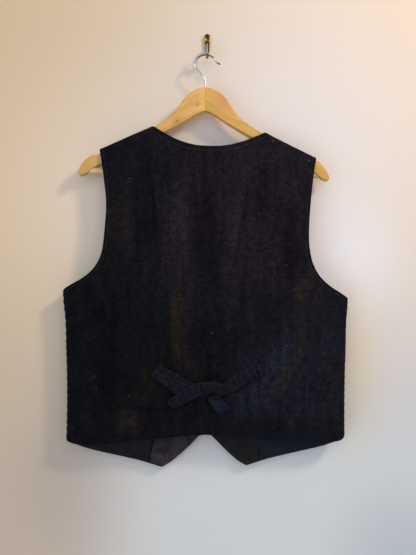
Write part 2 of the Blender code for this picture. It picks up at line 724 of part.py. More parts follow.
def make_wall_hook(brass, steel):
    def front_rim(a, b):
        return a.y < -PLATE_THICK / 2 and b.y < -PLATE_THICK / 2

    mesh = slab_mesh("wall_hook", plate_outline(), -PLATE_THICK, 0.0, 0.0007, front_rim)
    plate = add_object("wall_hook", mesh, brass, smooth_deg=35)
    prong = bent_rod_mesh("prong", prong_route(), Vector((1.0, 0.0, 0.0)), PRONG_RADIUS, PRONG_SIDES)
    combine(plate, prong, "UNION")
    turn = Matrix.Rotation(math.radians(90), 4, "X")
    for name, height in (("wall_hook_screw_upper", SCREW_HEIGHT), ("wall_hook_screw_lower", -SCREW_HEIGHT)):
        hole = SCREW_SHANK + GAP
        drill = lathe_mesh(f"drill_{name}", ((0.0, -0.005), (hole, -0.005), (hole, 0.010), (0.0, 0.010)), 16)
        drill.transform(Matrix.Translation((0.0, 0.0, height)) @ turn)
        cut_away(plate, drill)
        seat = PLATE_THICK + GAP
        profile = ((0.0, GAP), (SCREW_SHANK, GAP), (SCREW_SHANK, seat), (SCREW_HEAD, seat),
                   (SCREW_HEAD, seat + 0.0005), (SCREW_HEAD * 0.8, seat + 0.0012),
                   (SCREW_HEAD * 0.4, seat + 0.0016), (0.0, seat + 0.0017))
        mesh = lathe_mesh(name, profile, 16)
        mesh.transform(turn)
        screw = add_object(name, mesh, steel, smooth_deg=35)
        screw.location = (0.0, 0.0, height)


def main():
    clear_scene()
    velvet = make_material("black_velveteen", (0.012, 0.011, 0.013), 0.95)
    facing = make_material("facing_cloth", (0.045, 0.030, 0.030), 0.9)
    lining = make_material("ribbed_lining", (0.030, 0.028, 0.034), 0.8)
    button = make_material("button_brass", (0.35, 0.24, 0.09), 0.4, 0.9)
    left_wood = make_material("honey_beech", (0.62, 0.36, 0.15), 0.45)
    right_wood = make_material("dark_beech", (0.58, 0.30, 0.11), 0.45)
    bar_wood = make_material("pale_dowel", (0.70, 0.45, 0.22), 0.5)
    wire = make_material("bright_wire", (0.75, 0.75, 0.76), 0.25, 1.0)
    brass = make_material("aged_brass", (0.36, 0.26, 0.10), 0.42, 0.95)
    steel = make_material("dark_steel", (0.06, 0.05, 0.045), 0.5, 0.9)
    make_back(velvet)
    make_front("front_left", -1, velvet, facing, lining)
    make_front("front_right", 1, velvet, facing, lining)
    for name, stations in TIES.items():
        make_tie(name, stations, velvet)
    make_buttons(button)
    make_hanger(left_wood, right_wood, bar_wood, wire)
    make_wall_hook(brass, steel)


main()
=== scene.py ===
"""Looks of a velveteen waistcoat on a wooden hanger, hung from a brass wall hook.

Laid out as an add-on: settings, one operator for each group of pieces, one for the stage, and a
sidebar panel. Metres, +Z up, the wall is the plane y = 0 and the back of the waistcoat faces -Y.
"""
import random
from bisect import bisect
from collections import namedtuple
from functools import cache, partial
from math import atan2, copysign, cos, exp, hypot, pi, radians, sin, tan, tau

import bmesh
import bpy
from bpy.props import FloatProperty, FloatVectorProperty, IntProperty, PointerProperty
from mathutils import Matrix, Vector, noise
from mathutils.kdtree import KDTree


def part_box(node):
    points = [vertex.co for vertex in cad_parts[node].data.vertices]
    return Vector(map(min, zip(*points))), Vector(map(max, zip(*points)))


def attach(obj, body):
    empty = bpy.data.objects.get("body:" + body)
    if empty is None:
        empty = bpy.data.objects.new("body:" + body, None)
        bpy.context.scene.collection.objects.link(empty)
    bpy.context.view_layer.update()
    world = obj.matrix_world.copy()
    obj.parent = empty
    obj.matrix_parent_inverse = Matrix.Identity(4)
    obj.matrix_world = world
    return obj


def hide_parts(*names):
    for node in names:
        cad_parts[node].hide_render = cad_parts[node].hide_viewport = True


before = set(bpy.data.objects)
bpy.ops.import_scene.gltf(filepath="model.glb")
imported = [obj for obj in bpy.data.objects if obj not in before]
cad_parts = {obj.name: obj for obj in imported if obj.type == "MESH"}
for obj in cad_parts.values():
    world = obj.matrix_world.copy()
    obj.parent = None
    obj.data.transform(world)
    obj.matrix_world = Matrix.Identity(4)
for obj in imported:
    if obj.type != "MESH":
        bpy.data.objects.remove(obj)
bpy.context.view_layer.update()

bl_info = {
    "name": "Velveteen Waistcoat",
    "version": (1, 0, 0),
    "blender": (4, 5, 0),
    "location": "View3D > Sidebar > Waistcoat",
    "description": "Builds a waistcoat on its hanger and wall hook, piece by piece",
    "category": "Object",
}

BODY = "root"


# --- settings
def colour(name, description, default):
    return FloatVectorProperty(name=name, description=description, default=default, subtype="COLOR",
                               size=3, min=0.0, max=1.0)


def length(name, description, default):
    return FloatProperty(name=name, description=description, default=default, unit="LENGTH",
                         precision=5)


def share(name, description, default):
    return FloatProperty(name=name, description=description, default=default, subtype="FACTOR",
                         min=0.0, max=1.0)


class ClothSettings(bpy.types.PropertyGroup):
    velvet: colour("Velveteen", "Black pile of the back and fronts", (0.004, 0.0042, 0.0062))
    # Painted light: the pile of the right shoulder is painted paler and violet where the warm lamp falls.
    painted_light_violet: colour("Upper right pile", "Faded pile of the right shoulder", (0.0098, 0.0082, 0.0126))
    # Painted light: the pile above the hem on the right is painted bluer where the cool light falls.
    painted_cool_light_blue: colour("Lower right pile", "Pile above the hem on the right", (0.008, 0.0092, 0.015))
    strap_pile: colour("Belt pile", "Pile of the tied belt", (0.0055, 0.0059, 0.0098))
    # Painted light: the belt's hanging end is painted bluer where the cool light falls.
    painted_cool_light_tail: colour("Tail pile", "Pile of the belt's hanging end", (0.0056, 0.0082, 0.017))
    pile_cool: colour("Pile sheen tint", "Tint of the light that the pile throws back", (0.55, 0.6, 0.85))
    # Painted light: warm lamplight painted as brown on the crests of the folds.
    painted_warm_light_brown: colour("Brushed pile", "Pile brushed the other way on the crests", (0.0112, 0.0077, 0.0044))
    pile_sheen: share("Pile sheen", "How strongly the pile lights up at a slant", 0.1)
    facing: colour("Facing", "Brown cotton facing inside the fronts", (0.0113, 0.0086, 0.0122))
    lining: colour("Lining", "Ribbed lining of the fronts", (0.0118, 0.016, 0.036))
    thread: colour("Sewing thread", "Black sewing thread", (0.02, 0.018, 0.022))
    stitch_length: length("Stitch length", "One topstitch and the space after it", 0.003)
    topstitch_inset: length("Topstitch inset", "From the neck edge to its stitching", 0.008)
    armhole_inset: length("Armhole inset", "From the armhole edge to its stitching", 0.0052)
    tuft_count: IntProperty(name="Lint", description="Specks of lint caught in the pile", default=420,
                            min=0)
    gold: colour("Gold thread", "Thread of the embroidery on the fronts", (0.66, 0.43, 0.15))
    cream: colour("Cream thread", "Second thread of the embroidery", (0.76, 0.68, 0.5))


class HangerSettings(bpy.types.PropertyGroup):
    pale_wood: colour("Pale beech", "Left arm of the hanger", (0.665, 0.385, 0.098))
    warm_wood: colour("Warm beech", "Right arm of the hanger", (0.62, 0.348, 0.064))
    dowel: colour("Dowel", "Trouser bar", (0.7, 0.47, 0.24))
    wire: colour("Wire", "Nickelled wire of the hook", (0.78, 0.79, 0.82))
    arm_edge: length("Arm edge", "Rounding along the arms", 0.0022)
    wire_radius: length("Wire radius", "Half the thickness of the wire", 0.0014)


class WallHookSettings(bpy.types.PropertyGroup):
    brass: colour("Brass", "Lacquered brass of the hook", (0.52, 0.33, 0.07))
    patina: colour("Patina", "Dark tarnish in the hollows", (0.035, 0.026, 0.014))
    steel: colour("Screws", "Blackened steel screws", (0.03, 0.026, 0.024))


class StageSettings(bpy.types.PropertyGroup):
    wall: colour("Wall", "Pale cream wall behind the hook", (0.77, 0.7, 0.61))
    floor: colour("Floor", "Plain pale floor", (0.72, 0.7, 0.67))
    view_distance: length("View distance", "From the camera to the wall", 1.0)
    view_height: length("View height", "Height of the camera below the hook", -0.4326)
    view_side: length("View side", "How far the camera stands to the right", 0.0013)
    lens: FloatProperty(name="Lens", description="Focal length in mm on a 24 mm high sensor",
                        default=23.69)
    warm_power: FloatProperty(name="Warm lamp", description="Lamp at the upper right", default=21.0,
                              unit="POWER")
    cool_power: FloatProperty(name="Cool window", description="Daylight from the lower left",
                              default=18.0, unit="POWER")


def cloth():
    return bpy.context.scene.waistcoat_cloth


def hanger():
    return bpy.context.scene.waistcoat_hanger


# --- small helpers
def clamp(value, low=0.0, high=1.0):
    return min(max(value, low), high)


def ease(t):
    t = clamp(t)
    return t * t * (3.0 - 2.0 * t)


def rough(x, z, seed):
    """Smooth random swells, from -1 to 1."""
    return noise.noise(Vector((x, z, seed)))


def ray(angle, reach=1.0):
    return Vector((cos(angle), sin(angle))) * reach


def bell(distance, half_width):
    return exp(-(distance / half_width) ** 2)


def pick(*items):
    """Leave object mode's selection holding only these, the last one active."""
    if bpy.context.mode != "OBJECT":
        switch("OBJECT")
    bpy.ops.object.select_all(action="DESELECT")
    for item in items:
        item.select_set(True)
        bpy.context.view_layer.objects.active = item


def switch(mode):
    bpy.ops.object.mode_set(mode=mode)


def add(primitive, name, **settings):
    """Add a primitive, a lamp or a camera with nothing else selected."""
    pick()
    primitive(**settings)
    item = bpy.context.object
    item.name = name
    return item


def in_place(item):
    """Bake an object's place into its mesh, so that it sits at the origin, unturned and unscaled."""
    pick(item)
    bpy.ops.object.transform_apply(location=True, rotation=True, scale=True)
    return item


def set_down(item, location, turn):
    item.location, item.rotation_euler = location, turn
    return in_place(item)


def apply_modifiers(item):
    pick(item)
    for modifier in list(item.modifiers):
        bpy.ops.object.modifier_apply(modifier=modifier.name)


def edit_whole(item):
    pick(item)
    switch("EDIT")
    bpy.ops.mesh.select_all(action="SELECT")


def face_outwards(item):
    edit_whole(item)
    bpy.ops.mesh.normals_make_consistent(inside=False)
    switch("OBJECT")
    return item


def finish_piece(item, look, nodes=(), smooth_deg=None):
    """Give a new piece its finish and body, and hide the CAD nodes it stands for."""
    if not item.data.materials:
        item.data.materials.append(finish(look))
    if smooth_deg is not None:
        pick(item)
        bpy.ops.object.shade_smooth_by_angle(angle=radians(smooth_deg))
    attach(item, BODY)
    if nodes:
        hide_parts(*nodes)
    return item


def loft(points, faces, rings):
    """Join rings of points, one after another, into a skin closed at both ends."""
    first, size = len(points), len(rings[0])
    points.extend(point for ring in rings for point in ring)
    last = len(points) - size
    for low in range(first, last, size):
        for step in range(size):
            after = (step + 1) % size
            faces.append((low + step, low + after, low + size + after, low + size + step))
    faces.append(tuple(range(first, first + size))[::-1])
    faces.append(tuple(range(last, last + size)))


def add_mesh(name, points, faces, uvs=None, smooth=True):
    """A new object from points and faces; uvs hold one pair for each point."""
    mesh = bpy.data.meshes.new(name)
    mesh.from_pydata(points, [], faces)
    if uvs is not None:
        layer = mesh.uv_layers.new(name="cut")
        index = [0] * len(mesh.loops)
        mesh.loops.foreach_get("vertex_index", index)
        layer.uv.foreach_set("vector", [value for at in index for value in uvs[at]])
    mesh.polygons.foreach_set("use_smooth", [smooth] * len(mesh.polygons))
    mesh.update()
    item = bpy.data.objects.new(name, mesh)
    bpy.context.scene.collection.objects.link(item)
    return item


# --- the cut: half the pattern, from the centre line outwards
Mark = namedtuple("Mark", "out height")


def marks(*pairs):
    """Points of an outline, given in mm."""
    return tuple(Mark(out / 1000, height / 1000) for out, height in pairs)


NECK_POINT = Mark(0.1002, -0.1702)
SHOULDER_END = Mark(0.1913, -0.213)
UNDERARM = Mark(0.2524, -0.4618)
SIDE_SEAM = marks((246.3, -714), (245.7, -650), (246.3, -600), (247.6, -560), (248.8, -510),
    (251.8, -478)) + (UNDERARM,)
ARMHOLE = (UNDERARM,) + marks((236.7, -451.9), (215.7, -439.1), (198.7, -423.6), (186.8, -403),
    (181.2, -379), (179, -340), (179.6, -300), (183.8, -260), (187.5, -233)) + (SHOULDER_END,)
BACK_NECK = marks((0, -201), (20, -200.3), (40, -196.6), (58, -191), (74, -184),
    (88, -177.2)) + (NECK_POINT,)
BACK_HEM = marks((0, -707), (45, -709.6), (90, -714), (135, -717.8), (165, -721), (200, -723.5),
    (230, -722.6), (241, -719.5)) + (SIDE_SEAM[0],)
FRONT_LAP = 0.01
V_BOTTOM = Mark(-FRONT_LAP, -0.4)
FRONT_POINT = Mark(0.0757, -0.7724)
FRONT_NECK = (V_BOTTOM,) + marks((20, -345), (54, -270), (83, -208)) + (NECK_POINT,)
CUTAWAY = marks((-10, -697), (0, -707.2), (16, -722.5), (37, -743), (59, -762)) + (FRONT_POINT,)
FRONT_HEM = (FRONT_POINT,) + marks((90, -767.8), (115, -760), (150, -751.5), (184, -743.5), (210, -736.5),
    (230, -729), (241, -722.5)) + (SIDE_SEAM[0],)
FRONT_ARMHOLE_SCOOP = 0.006
ARM_ROW = 0.52                  # share of a panel's rise at which the underarm lies
# width of the facing as a share of the front, from the hem up
FACING_SHARE = ((0.0, 0.422), (0.25, 0.345), (0.52, 0.285), (1.0, 0.42))

HANG = (                        # height, shift along the arms, turn in degrees
    (-0.775, -0.0058, -1.0), (-0.72, -0.0032, -0.55), (-0.62, -0.0024, -0.35),
    (-0.53, -0.0024, 0.1), (-0.455, -0.0034, 1.7), (-0.38, -0.0016, 1.1),
    (-0.29, 0.002, 0.9), (-0.2136, 0.0012, 2.35), (-0.165, 0.0033, 3.3),
)
DEPTH = (                       # height, plane of the seams, how far back and fronts stand off it
    (-0.775, -0.028, 0.0165, 0.015), (-0.45, -0.028, 0.016, 0.015),
    (-0.28, -0.0255, 0.014, 0.013), (-0.165, -0.024, 0.0125, 0.0115),
)
TUBE_POWER = 3.0
TUBE_GROWTH = 0.024
TUBE_GROWTH_RISE = 0.13
SHOULDER_ROLL = 0.013
LAP_LIFT = 0.0036
LAP_FROM = 0.015
LAP_TO = 0.032
SEAM_GAP = -0.0001               # sewn edges press into each other


def read_table(table, key):
    """Ease from row to row of a table whose first column rises; give its other columns."""
    if key <= table[0][0]:
        return table[0][1:]
    for low, high in zip(table, table[1:]):
        if key <= high[0]:
            part = ease((key - low[0]) / (high[0] - low[0]))
            return tuple(a + (b - a) * part for a, b in zip(low[1:], high[1:]))
    return table[-1][1:]


def curve(low, high, rise_low, rise_high, t):
    """A smooth way from one value to another that leaves and arrives at the given rises."""
    return (low * (2 * t**3 - 3 * t**2 + 1) + rise_low * (t**3 - 2 * t**2 + t)
            + high * (3 * t**2 - 2 * t**3) + rise_high * (t**3 - t**2))


def smooth_line(points):
    """A smooth curve through points, as a function of the share of its length."""
    points = [Vector(point) for point in points]
    reached = [0.0]
    for a, b in zip(points, points[1:]):
        reached.append(reached[-1] + (b - a).length)
    last = len(points) - 1
    slopes = []
    for index in range(last + 1):
        low, high = max(index - 1, 0), min(index + 1, last)
        slopes.append((points[high] - points[low]) / (reached[high] - reached[low]))

    def at(part):
        reach = clamp(part) * reached[-1]
        index = next((i for i in range(last) if reach <= reached[i + 1]), last - 1)
        span = reached[index + 1] - reached[index]
        return curve(points[index], points[index + 1], slopes[index] * span, slopes[index + 1] * span,
                     (reach - reached[index]) / span)
    return at


def by_distance(table):
    """The height of an edge as a function of the distance from the centre, which rises."""
    def at(out):
        for low, high, before, after in zip(table, table[1:], (table[0], *table), (*table[2:], table[-1])):
            if out <= high.out:
                span = high.out - low.out
                rise_low = (high.height - before.height) / (high.out - before.out) * span
                rise_high = (after.height - low.height) / (after.out - low.out) * span
                return curve(low.height, high.height, rise_low, rise_high, (out - low.out) / span)
        return table[-1].height
    return at


side_line = smooth_line(SIDE_SEAM)
armhole_line = smooth_line(ARMHOLE)
back_neck_line = by_distance(BACK_NECK)
back_hem_line = by_distance(BACK_HEM)
front_neck_line = smooth_line(FRONT_NECK)
cutaway_line = by_distance(CUTAWAY)
front_hem_line = by_distance(FRONT_HEM)

SIDE_STEPS = 300
side_points = [side_line(step / SIDE_STEPS) for step in range(SIDE_STEPS + 1)]
side_heights = [point.y for point in side_points]


def tube_half_width(height):
    if height > UNDERARM.height:
        return UNDERARM.out + TUBE_GROWTH * ease((height - UNDERARM.height) / TUBE_GROWTH_RISE)
    index = clamp(bisect(side_heights, height) - 1, 0, SIDE_STEPS - 1)
    low, high = side_points[index:index + 2]
    return low.x + (high.x - low.x) * clamp((height - low.y) / (high.y - low.y))


def rounding(part):
    """1 in the middle of a flattened ring, 0 at its edge."""
    return max(1.0 - min(abs(part), 1.0) ** TUBE_POWER, 0.0) ** (1.0 / TUBE_POWER)


def shoulder_turn(x, z):
    """0 on the shoulder seam, 1 below the stretch that rolls over the hanger's arm."""
    slope = (SHOULDER_END.height - NECK_POINT.height) / (SHOULDER_END.out - NECK_POINT.out)
    crest = NECK_POINT.height + (abs(x) - NECK_POINT.out) * slope
    return rounding(1.0 - clamp((crest - z) / SHOULDER_ROLL))


def hang(x, y, z):
    """Put a point of the cut where it hangs."""
    shift, turn_deg = read_table(HANG, z)
    return Vector((x + shift, y, z - x * tan(radians(turn_deg))))


def two_runs(rise, lower, upper):
    """One edge of a panel made of two lines that meet level with the underarm."""
    return lower(rise / ARM_ROW) if rise <= ARM_ROW else upper((rise - ARM_ROW) / (1.0 - ARM_ROW))


def shoulder_edge(part):
    return Vector(NECK_POINT).lerp(Vector(SHOULDER_END), part)


def front_armhole_edge(part):
    """The armhole of a front, cut further in at the chest."""
    return armhole_line(part) - Vector((FRONT_ARMHOLE_SCOOP * sin(pi * part) ** 2, 0.0))


def front_closing_edge(part):
    return Vector(CUTAWAY[0]).lerp(Vector(V_BOTTOM), part)


def front_hem_edge(part):
    out = -FRONT_LAP + (SIDE_SEAM[0].out + FRONT_LAP) * part
    return Vector((out, cutaway_line(out) if out < FRONT_POINT.out else front_hem_line(out)))


def fill_between(low, top, inner, outer, u, v):
    """Fill a four-sided outline: low and top run with u, inner and outer with v."""
    corners = (low(0) * ((1 - u) * (1 - v)) + low(1) * (u * (1 - v))
               + top(0) * ((1 - u) * v) + top(1) * (u * v))
    return low(u) * (1 - v) + top(u) * v + inner(v) * (1 - u) + outer(v) * u - corners


def back_cut(u, v):
    """Point of the back's right half."""
    def low(part):
        out = SIDE_SEAM[0].out * part
        return Vector((out, back_hem_line(out)))

    def top(part):
        out = SHOULDER_END.out * part
        if out <= NECK_POINT.out:
            return Vector((out, back_neck_line(out)))
        return shoulder_edge((out - NECK_POINT.out) / (SHOULDER_END.out - NECK_POINT.out))

    def inner(rise):
        return Vector((0.0, BACK_HEM[0].height + (BACK_NECK[0].height - BACK_HEM[0].height) * rise))

    return fill_between(low, top, inner, lambda rise: two_runs(rise, side_line, armhole_line), u, v)


def front_cut(u, v):
    """Point of a front, from its front edge to the side."""
    def inner(rise):
        return two_runs(rise, front_closing_edge, front_neck_line)

    def outer(rise):
        return two_runs(rise, side_line, front_armhole_edge)

    return fill_between(front_hem_edge, shoulder_edge, inner, outer, u, v)


# --- folds and creases, in mm: x and z of a line's top and foot, half width, how far it stands out
BACK_FOLDS = (
    (-105, -215, -98, -370, 16, -3), (-52, -300, -56, -560, 22, 3.6), (-2, -270, 0, -440, 18, -3),
    (66, -240, 30, -450, 13, 2.6), (190, -430, 102, -640, 22, 3.4), (140, -300, 150, -430, 20, -2.6),
    (-120, -640, -150, -705, 16, 2.4), (-170, -470, -180, -640, 22, -2.6),
)
FRONT_FOLDS = (
    (150, -330, 130, -560, 22, 2.6), (205, -480, 150, -640, 18, -2.2),
)
BACK_CREASES = (
    # soft ridges and troughs that run down from the shoulders
    (-108, -205, -92, -340, 4.5, -1.3), (-99, -230, -86, -330, 5, 0.9), (-148, -250, -139, -395, 8, 1),
    (-126, -300, -118, -430, 6, -0.9), (-58, -330, -52, -475, 6, 1.3), (-44, -380, -40, -520, 4.5, -1.3),
    (-72, -400, -70, -560, 7, -0.8), (-20, -290, -17, -400, 5.5, -1.1), (66, -256, 36, -412, 3.8, 2.1),
    (75, -262, 46, -416, 5, -1.3), (29, -325, 22, -392, 3.4, -1.1), (48, -430, 36, -530, 6, 0.8),
    (104, -236, 98, -330, 9, -0.9), (132, -250, 128, -345, 7, 0.8), (156, -330, 150, -400, 6, 0.9),
    # drag lines out of the armholes
    (184, -418, 152, -486, 6, 1.7), (196, -430, 170, -500, 5, -1.2), (170, -555, 107, -640, 6, 1.8),
    (150, -560, 96, -632, 4.8, -1.3), (-196, -432, -168, -500, 7, 1.2), (-212, -446, -186, -520, 6, -1),
    # pulled by the belt
    (-93, -588, -122, -656, 5.2, -1.9), (-100, -600, -112, -648, 6.2, 1.5), (-84, -622, -90, -664, 6, 1.2),
    (-166, -658, -86, -664, 4.6, -1.7), (-150, -668, -104, -676, 5.2, 1.2),
    (-104, -668, -110, -700, 4, -1.3), (-134, -672, -142, -702, 6, 1), (-62, -545, -76, -585, 5, -1.2),
    (-44, -552, -40, -592, 5, 0.9), (60, -634, 62, -676, 2.8, 0.8), (69, -628, 73, -680, 2.6, -0.9),
    (78, -622, 82, -672, 2.8, 0.9), (89, -618, 94, -668, 2.6, -0.8), (100, -612, 104, -652, 3, 0.8),
    (112, -596, 120, -640, 3.6, -0.9), (10, -655, -30, -690, 6, 1), (-6, -665, -46, -692, 5, -1),
    # a pressed line and a light crease near the hem
    (176, -588, 173, -668, 2.2, 1), (134, -672, 150, -690, 3.6, 1.4), (205, -684, 235, -690, 3.4, -1),
    (216, -694, 240, -698, 3.6, 0.9), (-222, -668, -200, -706, 6, 1.3), (-205, -600, -190, -640, 6, 0.9),
)
FRONT_CREASES = (
    (118, -230, 104, -360, 7, 1), (140, -250, 128, -380, 6, -0.9), (176, -420, 140, -500, 6, 1.4),
    (190, -430, 160, -505, 5, -1.1), (60, -430, 80, -520, 7, 0.9), (30, -520, 50, -610, 6, 0.8),
    (110, -560, 90, -680, 7, -0.9), (170, -600, 160, -700, 7, 1), (220, -620, 200, -700, 7, -0.9),
    (40, -690, 60, -735, 6, 0.9),
)
# where warm lamplight is painted on the pile as brown: the same kind of lines, with a strength for the rise
PAINTED_WARM_LIGHT_LINES = (
    (-58, -335, -52, -500, 11, 0.5), (-55, -470, -50, -590, 13, 0.75), (67, -250, 35, -415, 4, 0.7),
    (186, -415, 150, -480, 8, 0.8), (172, -545, 106, -645, 8.5, 0.75), (-98, -585, -112, -655, 11, 0.8),
    (-158, -664, -122, -700, 14, 0.55), (-36, -575, -12, -606, 9, 0.6), (236, -560, 236, -690, 16, 0.4),
    (-146, -270, -150, -420, 16, 0.3), (120, -480, 150, -540, 12, 0.3),
)


def prepared(folds, rise_unit=0.001):
    """Folds in metres, with their run and its squared length worked out once."""
    rows = []
    for *ends, rise in folds:
        x_top, z_top, x_low, z_low, half_width = (value / 1000 for value in ends)
        run_x, run_z = x_low - x_top, z_low - z_top
        rows.append((x_top, z_top, run_x, run_z, run_x ** 2 + run_z ** 2, half_width, rise * rise_unit))
    return rows


def fold_rise(rows, x, z):
    total = 0.0
    for x_top, z_top, run_x, run_z, square, half_width, rise in rows:
        along = ((x - x_top) * run_x + (z - z_top) * run_z) / square
        if -0.2 < along < 1.2:
            across = hypot(x - x_top - run_x * along, z - z_top - run_z * along) / half_width
            if across < 3.0:
                total += rise * ease(min(along, 1.0 - along) * 3.0 + 0.5) * exp(-across * across)
    return total


back_folds, back_creases = prepared(BACK_FOLDS), prepared(BACK_CREASES)
front_folds, front_creases = prepared(FRONT_FOLDS), prepared(FRONT_CREASES)
warm_light_lines = prepared(PAINTED_WARM_LIGHT_LINES, 1.0)


def unevenness(x, z, seed):
    """Low, broad swells of cloth that has been worn and brushed."""
    return (0.00075 * rough(x * 16.0, z * 11.0, seed) + 0.00034 * rough(x * 46.0, z * 36.0, seed + 7.3)
            + 0.00013 * rough(x * 130.0, z * 110.0, seed + 3.1))


SEAM_SCALLOP = 0.0128           # from one pucker of the side seam to the next
SCALLOP_DEEP = {-1: 0.0011, 1: 0.0005}      # by the side it is on


def scallop(x, z):
    """The side seams draw in between puckers; the left one more."""
    if z > UNDERARM.height or z < SIDE_SEAM[0].height + 0.004:
        return 0.0
    hand = 1 if x > 0 else -1
    near = bell(tube_half_width(z) - abs(x), 0.006)
    wave = abs(sin(pi * (z + 0.0016 * sin(z * 90.0)) / SEAM_SCALLOP))
    return hand * SCALLOP_DEEP[hand] * (wave - 0.75) * near


def pucker(x, z):
    """Short ridges that run in from a side seam."""
    if z > UNDERARM.height + 0.01:
        return 0.0
    hand = 1 if x > 0 else -1
    inwards = tube_half_width(z) - abs(x)
    phase = tau * (z + inwards * 0.25 * sin(z * 50.0)) / SEAM_SCALLOP
    return 0.62 * SCALLOP_DEEP[hand] * sin(phase) * bell(inwards - 0.004, 0.01)


def stand_off(x, z, depth, relief, side):
    """How far the cloth stands off the plane of the seams."""
    turn = shoulder_turn(x, z)
    swell = rounding(x / tube_half_width(z)) * turn
    return (depth + relief) * swell + pucker(side * x, z) * swell * turn + SEAM_GAP


def back_form(x, z, lift=0.0):
    """A point of the back's middle surface."""
    seam, depth, _ = read_table(DEPTH, z)
    relief = fold_rise(back_folds, x, z) + fold_rise(back_creases, x, z) + unevenness(x, z, 2.0)
    return hang(x + scallop(x, z), seam - stand_off(x, z, depth, relief, 1) - lift, z)


def front_form(hand, x, z, lift=0.0):
    """A point of a front's middle surface; hand is -1 for the wearer's left."""
    seam, _, depth = read_table(DEPTH, z)
    lap = LAP_LIFT * (1.0 - ease((x - LAP_FROM) / (LAP_TO - LAP_FROM))) if hand < 0 else 0.0
    centre = ease((x - 0.024) / 0.03)
    relief = (fold_rise(front_folds, x, z) + centre * fold_rise(front_creases, x, z)
              + (0.25 + 0.75 * centre) * unevenness(hand * x, z, 9.0))
    out = stand_off(x, z, depth, relief, hand) + lap + lift
    return hang(hand * x + scallop(hand * x, z), seam + out, z)


# --- panel grids
def spaced(pull, count):
    """Shares from 0 to 1, drawn closer together towards both ends."""
    return [step / count - pull * sin(tau * step / count) / tau for step in range(count + 1)]


def panel_rows(below, above):
    """Shares up a panel: hem to underarm, then to the shoulder, closing up where the cloth turns over."""
    rows = [ARM_ROW * part for part in spaced(0.35, below)[:-1]]
    for step in range(above + 1):
        part = step / above
        rows.append(ARM_ROW + (1.0 - ARM_ROW) * (1.0 - (1.0 - part) ** 1.45))
    return rows


def grid_normals(points, mirrored_columns, mirrored_top, seam_rows):
    """The cloth's normal at each grid point; over a seam it goes on as its own mirror image."""
    rows, columns = len(points), len(points[0])

    def neighbour(row, column, row_step, column_step):
        at = points[row][column]
        if 0 <= row + row_step < rows and 0 <= column + column_step < columns:
            return points[row + row_step][column + column_step]
        on_side_seam = column_step and column in mirrored_columns and row <= seam_rows
        if on_side_seam or (row_step > 0 and mirrored_top(column)):
            other = points[row - row_step][column - column_step]
            return Vector((other.x, 2 * at.y - other.y, other.z))
        return at

    def normal(row, column):
        across = neighbour(row, column, 0, 1) - neighbour(row, column, 0, -1)
        up = neighbour(row, column, 1, 0) - neighbour(row, column, -1, 0)
        return across.cross(up).normalized()

    return [[normal(row, column) for column in range(columns)] for row in range(rows)]


def wall(name, points, normals, inner, outer, cuts, materials, flip=False):
    """A closed wall of cloth: inner and outer give the distance off each grid point, cuts its UV."""
    rows, columns = len(points), len(points[0])
    count = rows * columns
    coords = [point + normal * off for distance in (inner, outer)
              for lines in zip(points, normals, distance) for point, normal, off in zip(*lines)]
    uvs = [pair for line in cuts for pair in line] * 2
    faces, slots = [], []
    for base, slot, way in ((0, len(materials) - 1, -1), (count, 0, 1)):
        for row in range(rows - 1):
            for column in range(columns - 1):
                low = base + row * columns + column
                faces.append((low, low + 1, low + columns + 1, low + columns)[::way])
                slots.append(slot)
    rim = [*range(columns)] + [row * columns + columns - 1 for row in range(1, rows)]
    rim += [*range(count - 2, count - columns - 1, -1)] + [row * columns for row in range(rows - 2, 0, -1)]
    faces += [(a, b, b + count, a + count) for a, b in zip(rim, rim[1:] + rim[:1])]
    slots += [0] * len(rim)
    if flip:
        faces = [face[::-1] for face in faces]
    item = add_mesh(name, coords, faces, uvs)
    for material in materials:
        item.data.materials.append(material)
    item.data.polygons.foreach_set("material_index", slots)
    return item


def store(item, name, value_at):
    """Keep a number at each vertex for the velveteen's colour."""
    layer = item.data.attributes.new(name, "FLOAT", "POINT")
    layer.data.foreach_set("value", [value_at(vertex.co.x, vertex.co.z) for vertex in item.data.vertices])


FOLD_PALEST = 0.0036            # rises at which the painted light on a fold and a crease is palest
CREASE_PALEST = 0.0018


def painted_fold_shade(folds, creases, x, z):
    """How high the cloth stands, as painted light and shade: a crest is painted paler, a trough darker."""
    height = fold_rise(folds, x, z) / FOLD_PALEST + fold_rise(creases, x, z) / CREASE_PALEST
    return clamp(height, -1.0)


class EdgeMap:
    """Distance in the flat cut from a point to an edge of the panel."""

    def __init__(self, line, steps):
        self.tree = KDTree(steps + 1)
        self.marks = [0.0]
        points = [line(step / steps) for step in range(steps + 1)]
        for before, point in zip(points, points[1:]):
            self.marks.append(self.marks[-1] + (point - before).length)
        for step, point in enumerate(points):
            self.tree.insert((point.x, point.y, 0.0), step)
        self.tree.balance()

    def nearest(self, x, z):
        """(distance to the edge, how far along it)"""
        _, index, distance = self.tree.find((x, z, 0.0))
        return distance, self.marks[index]


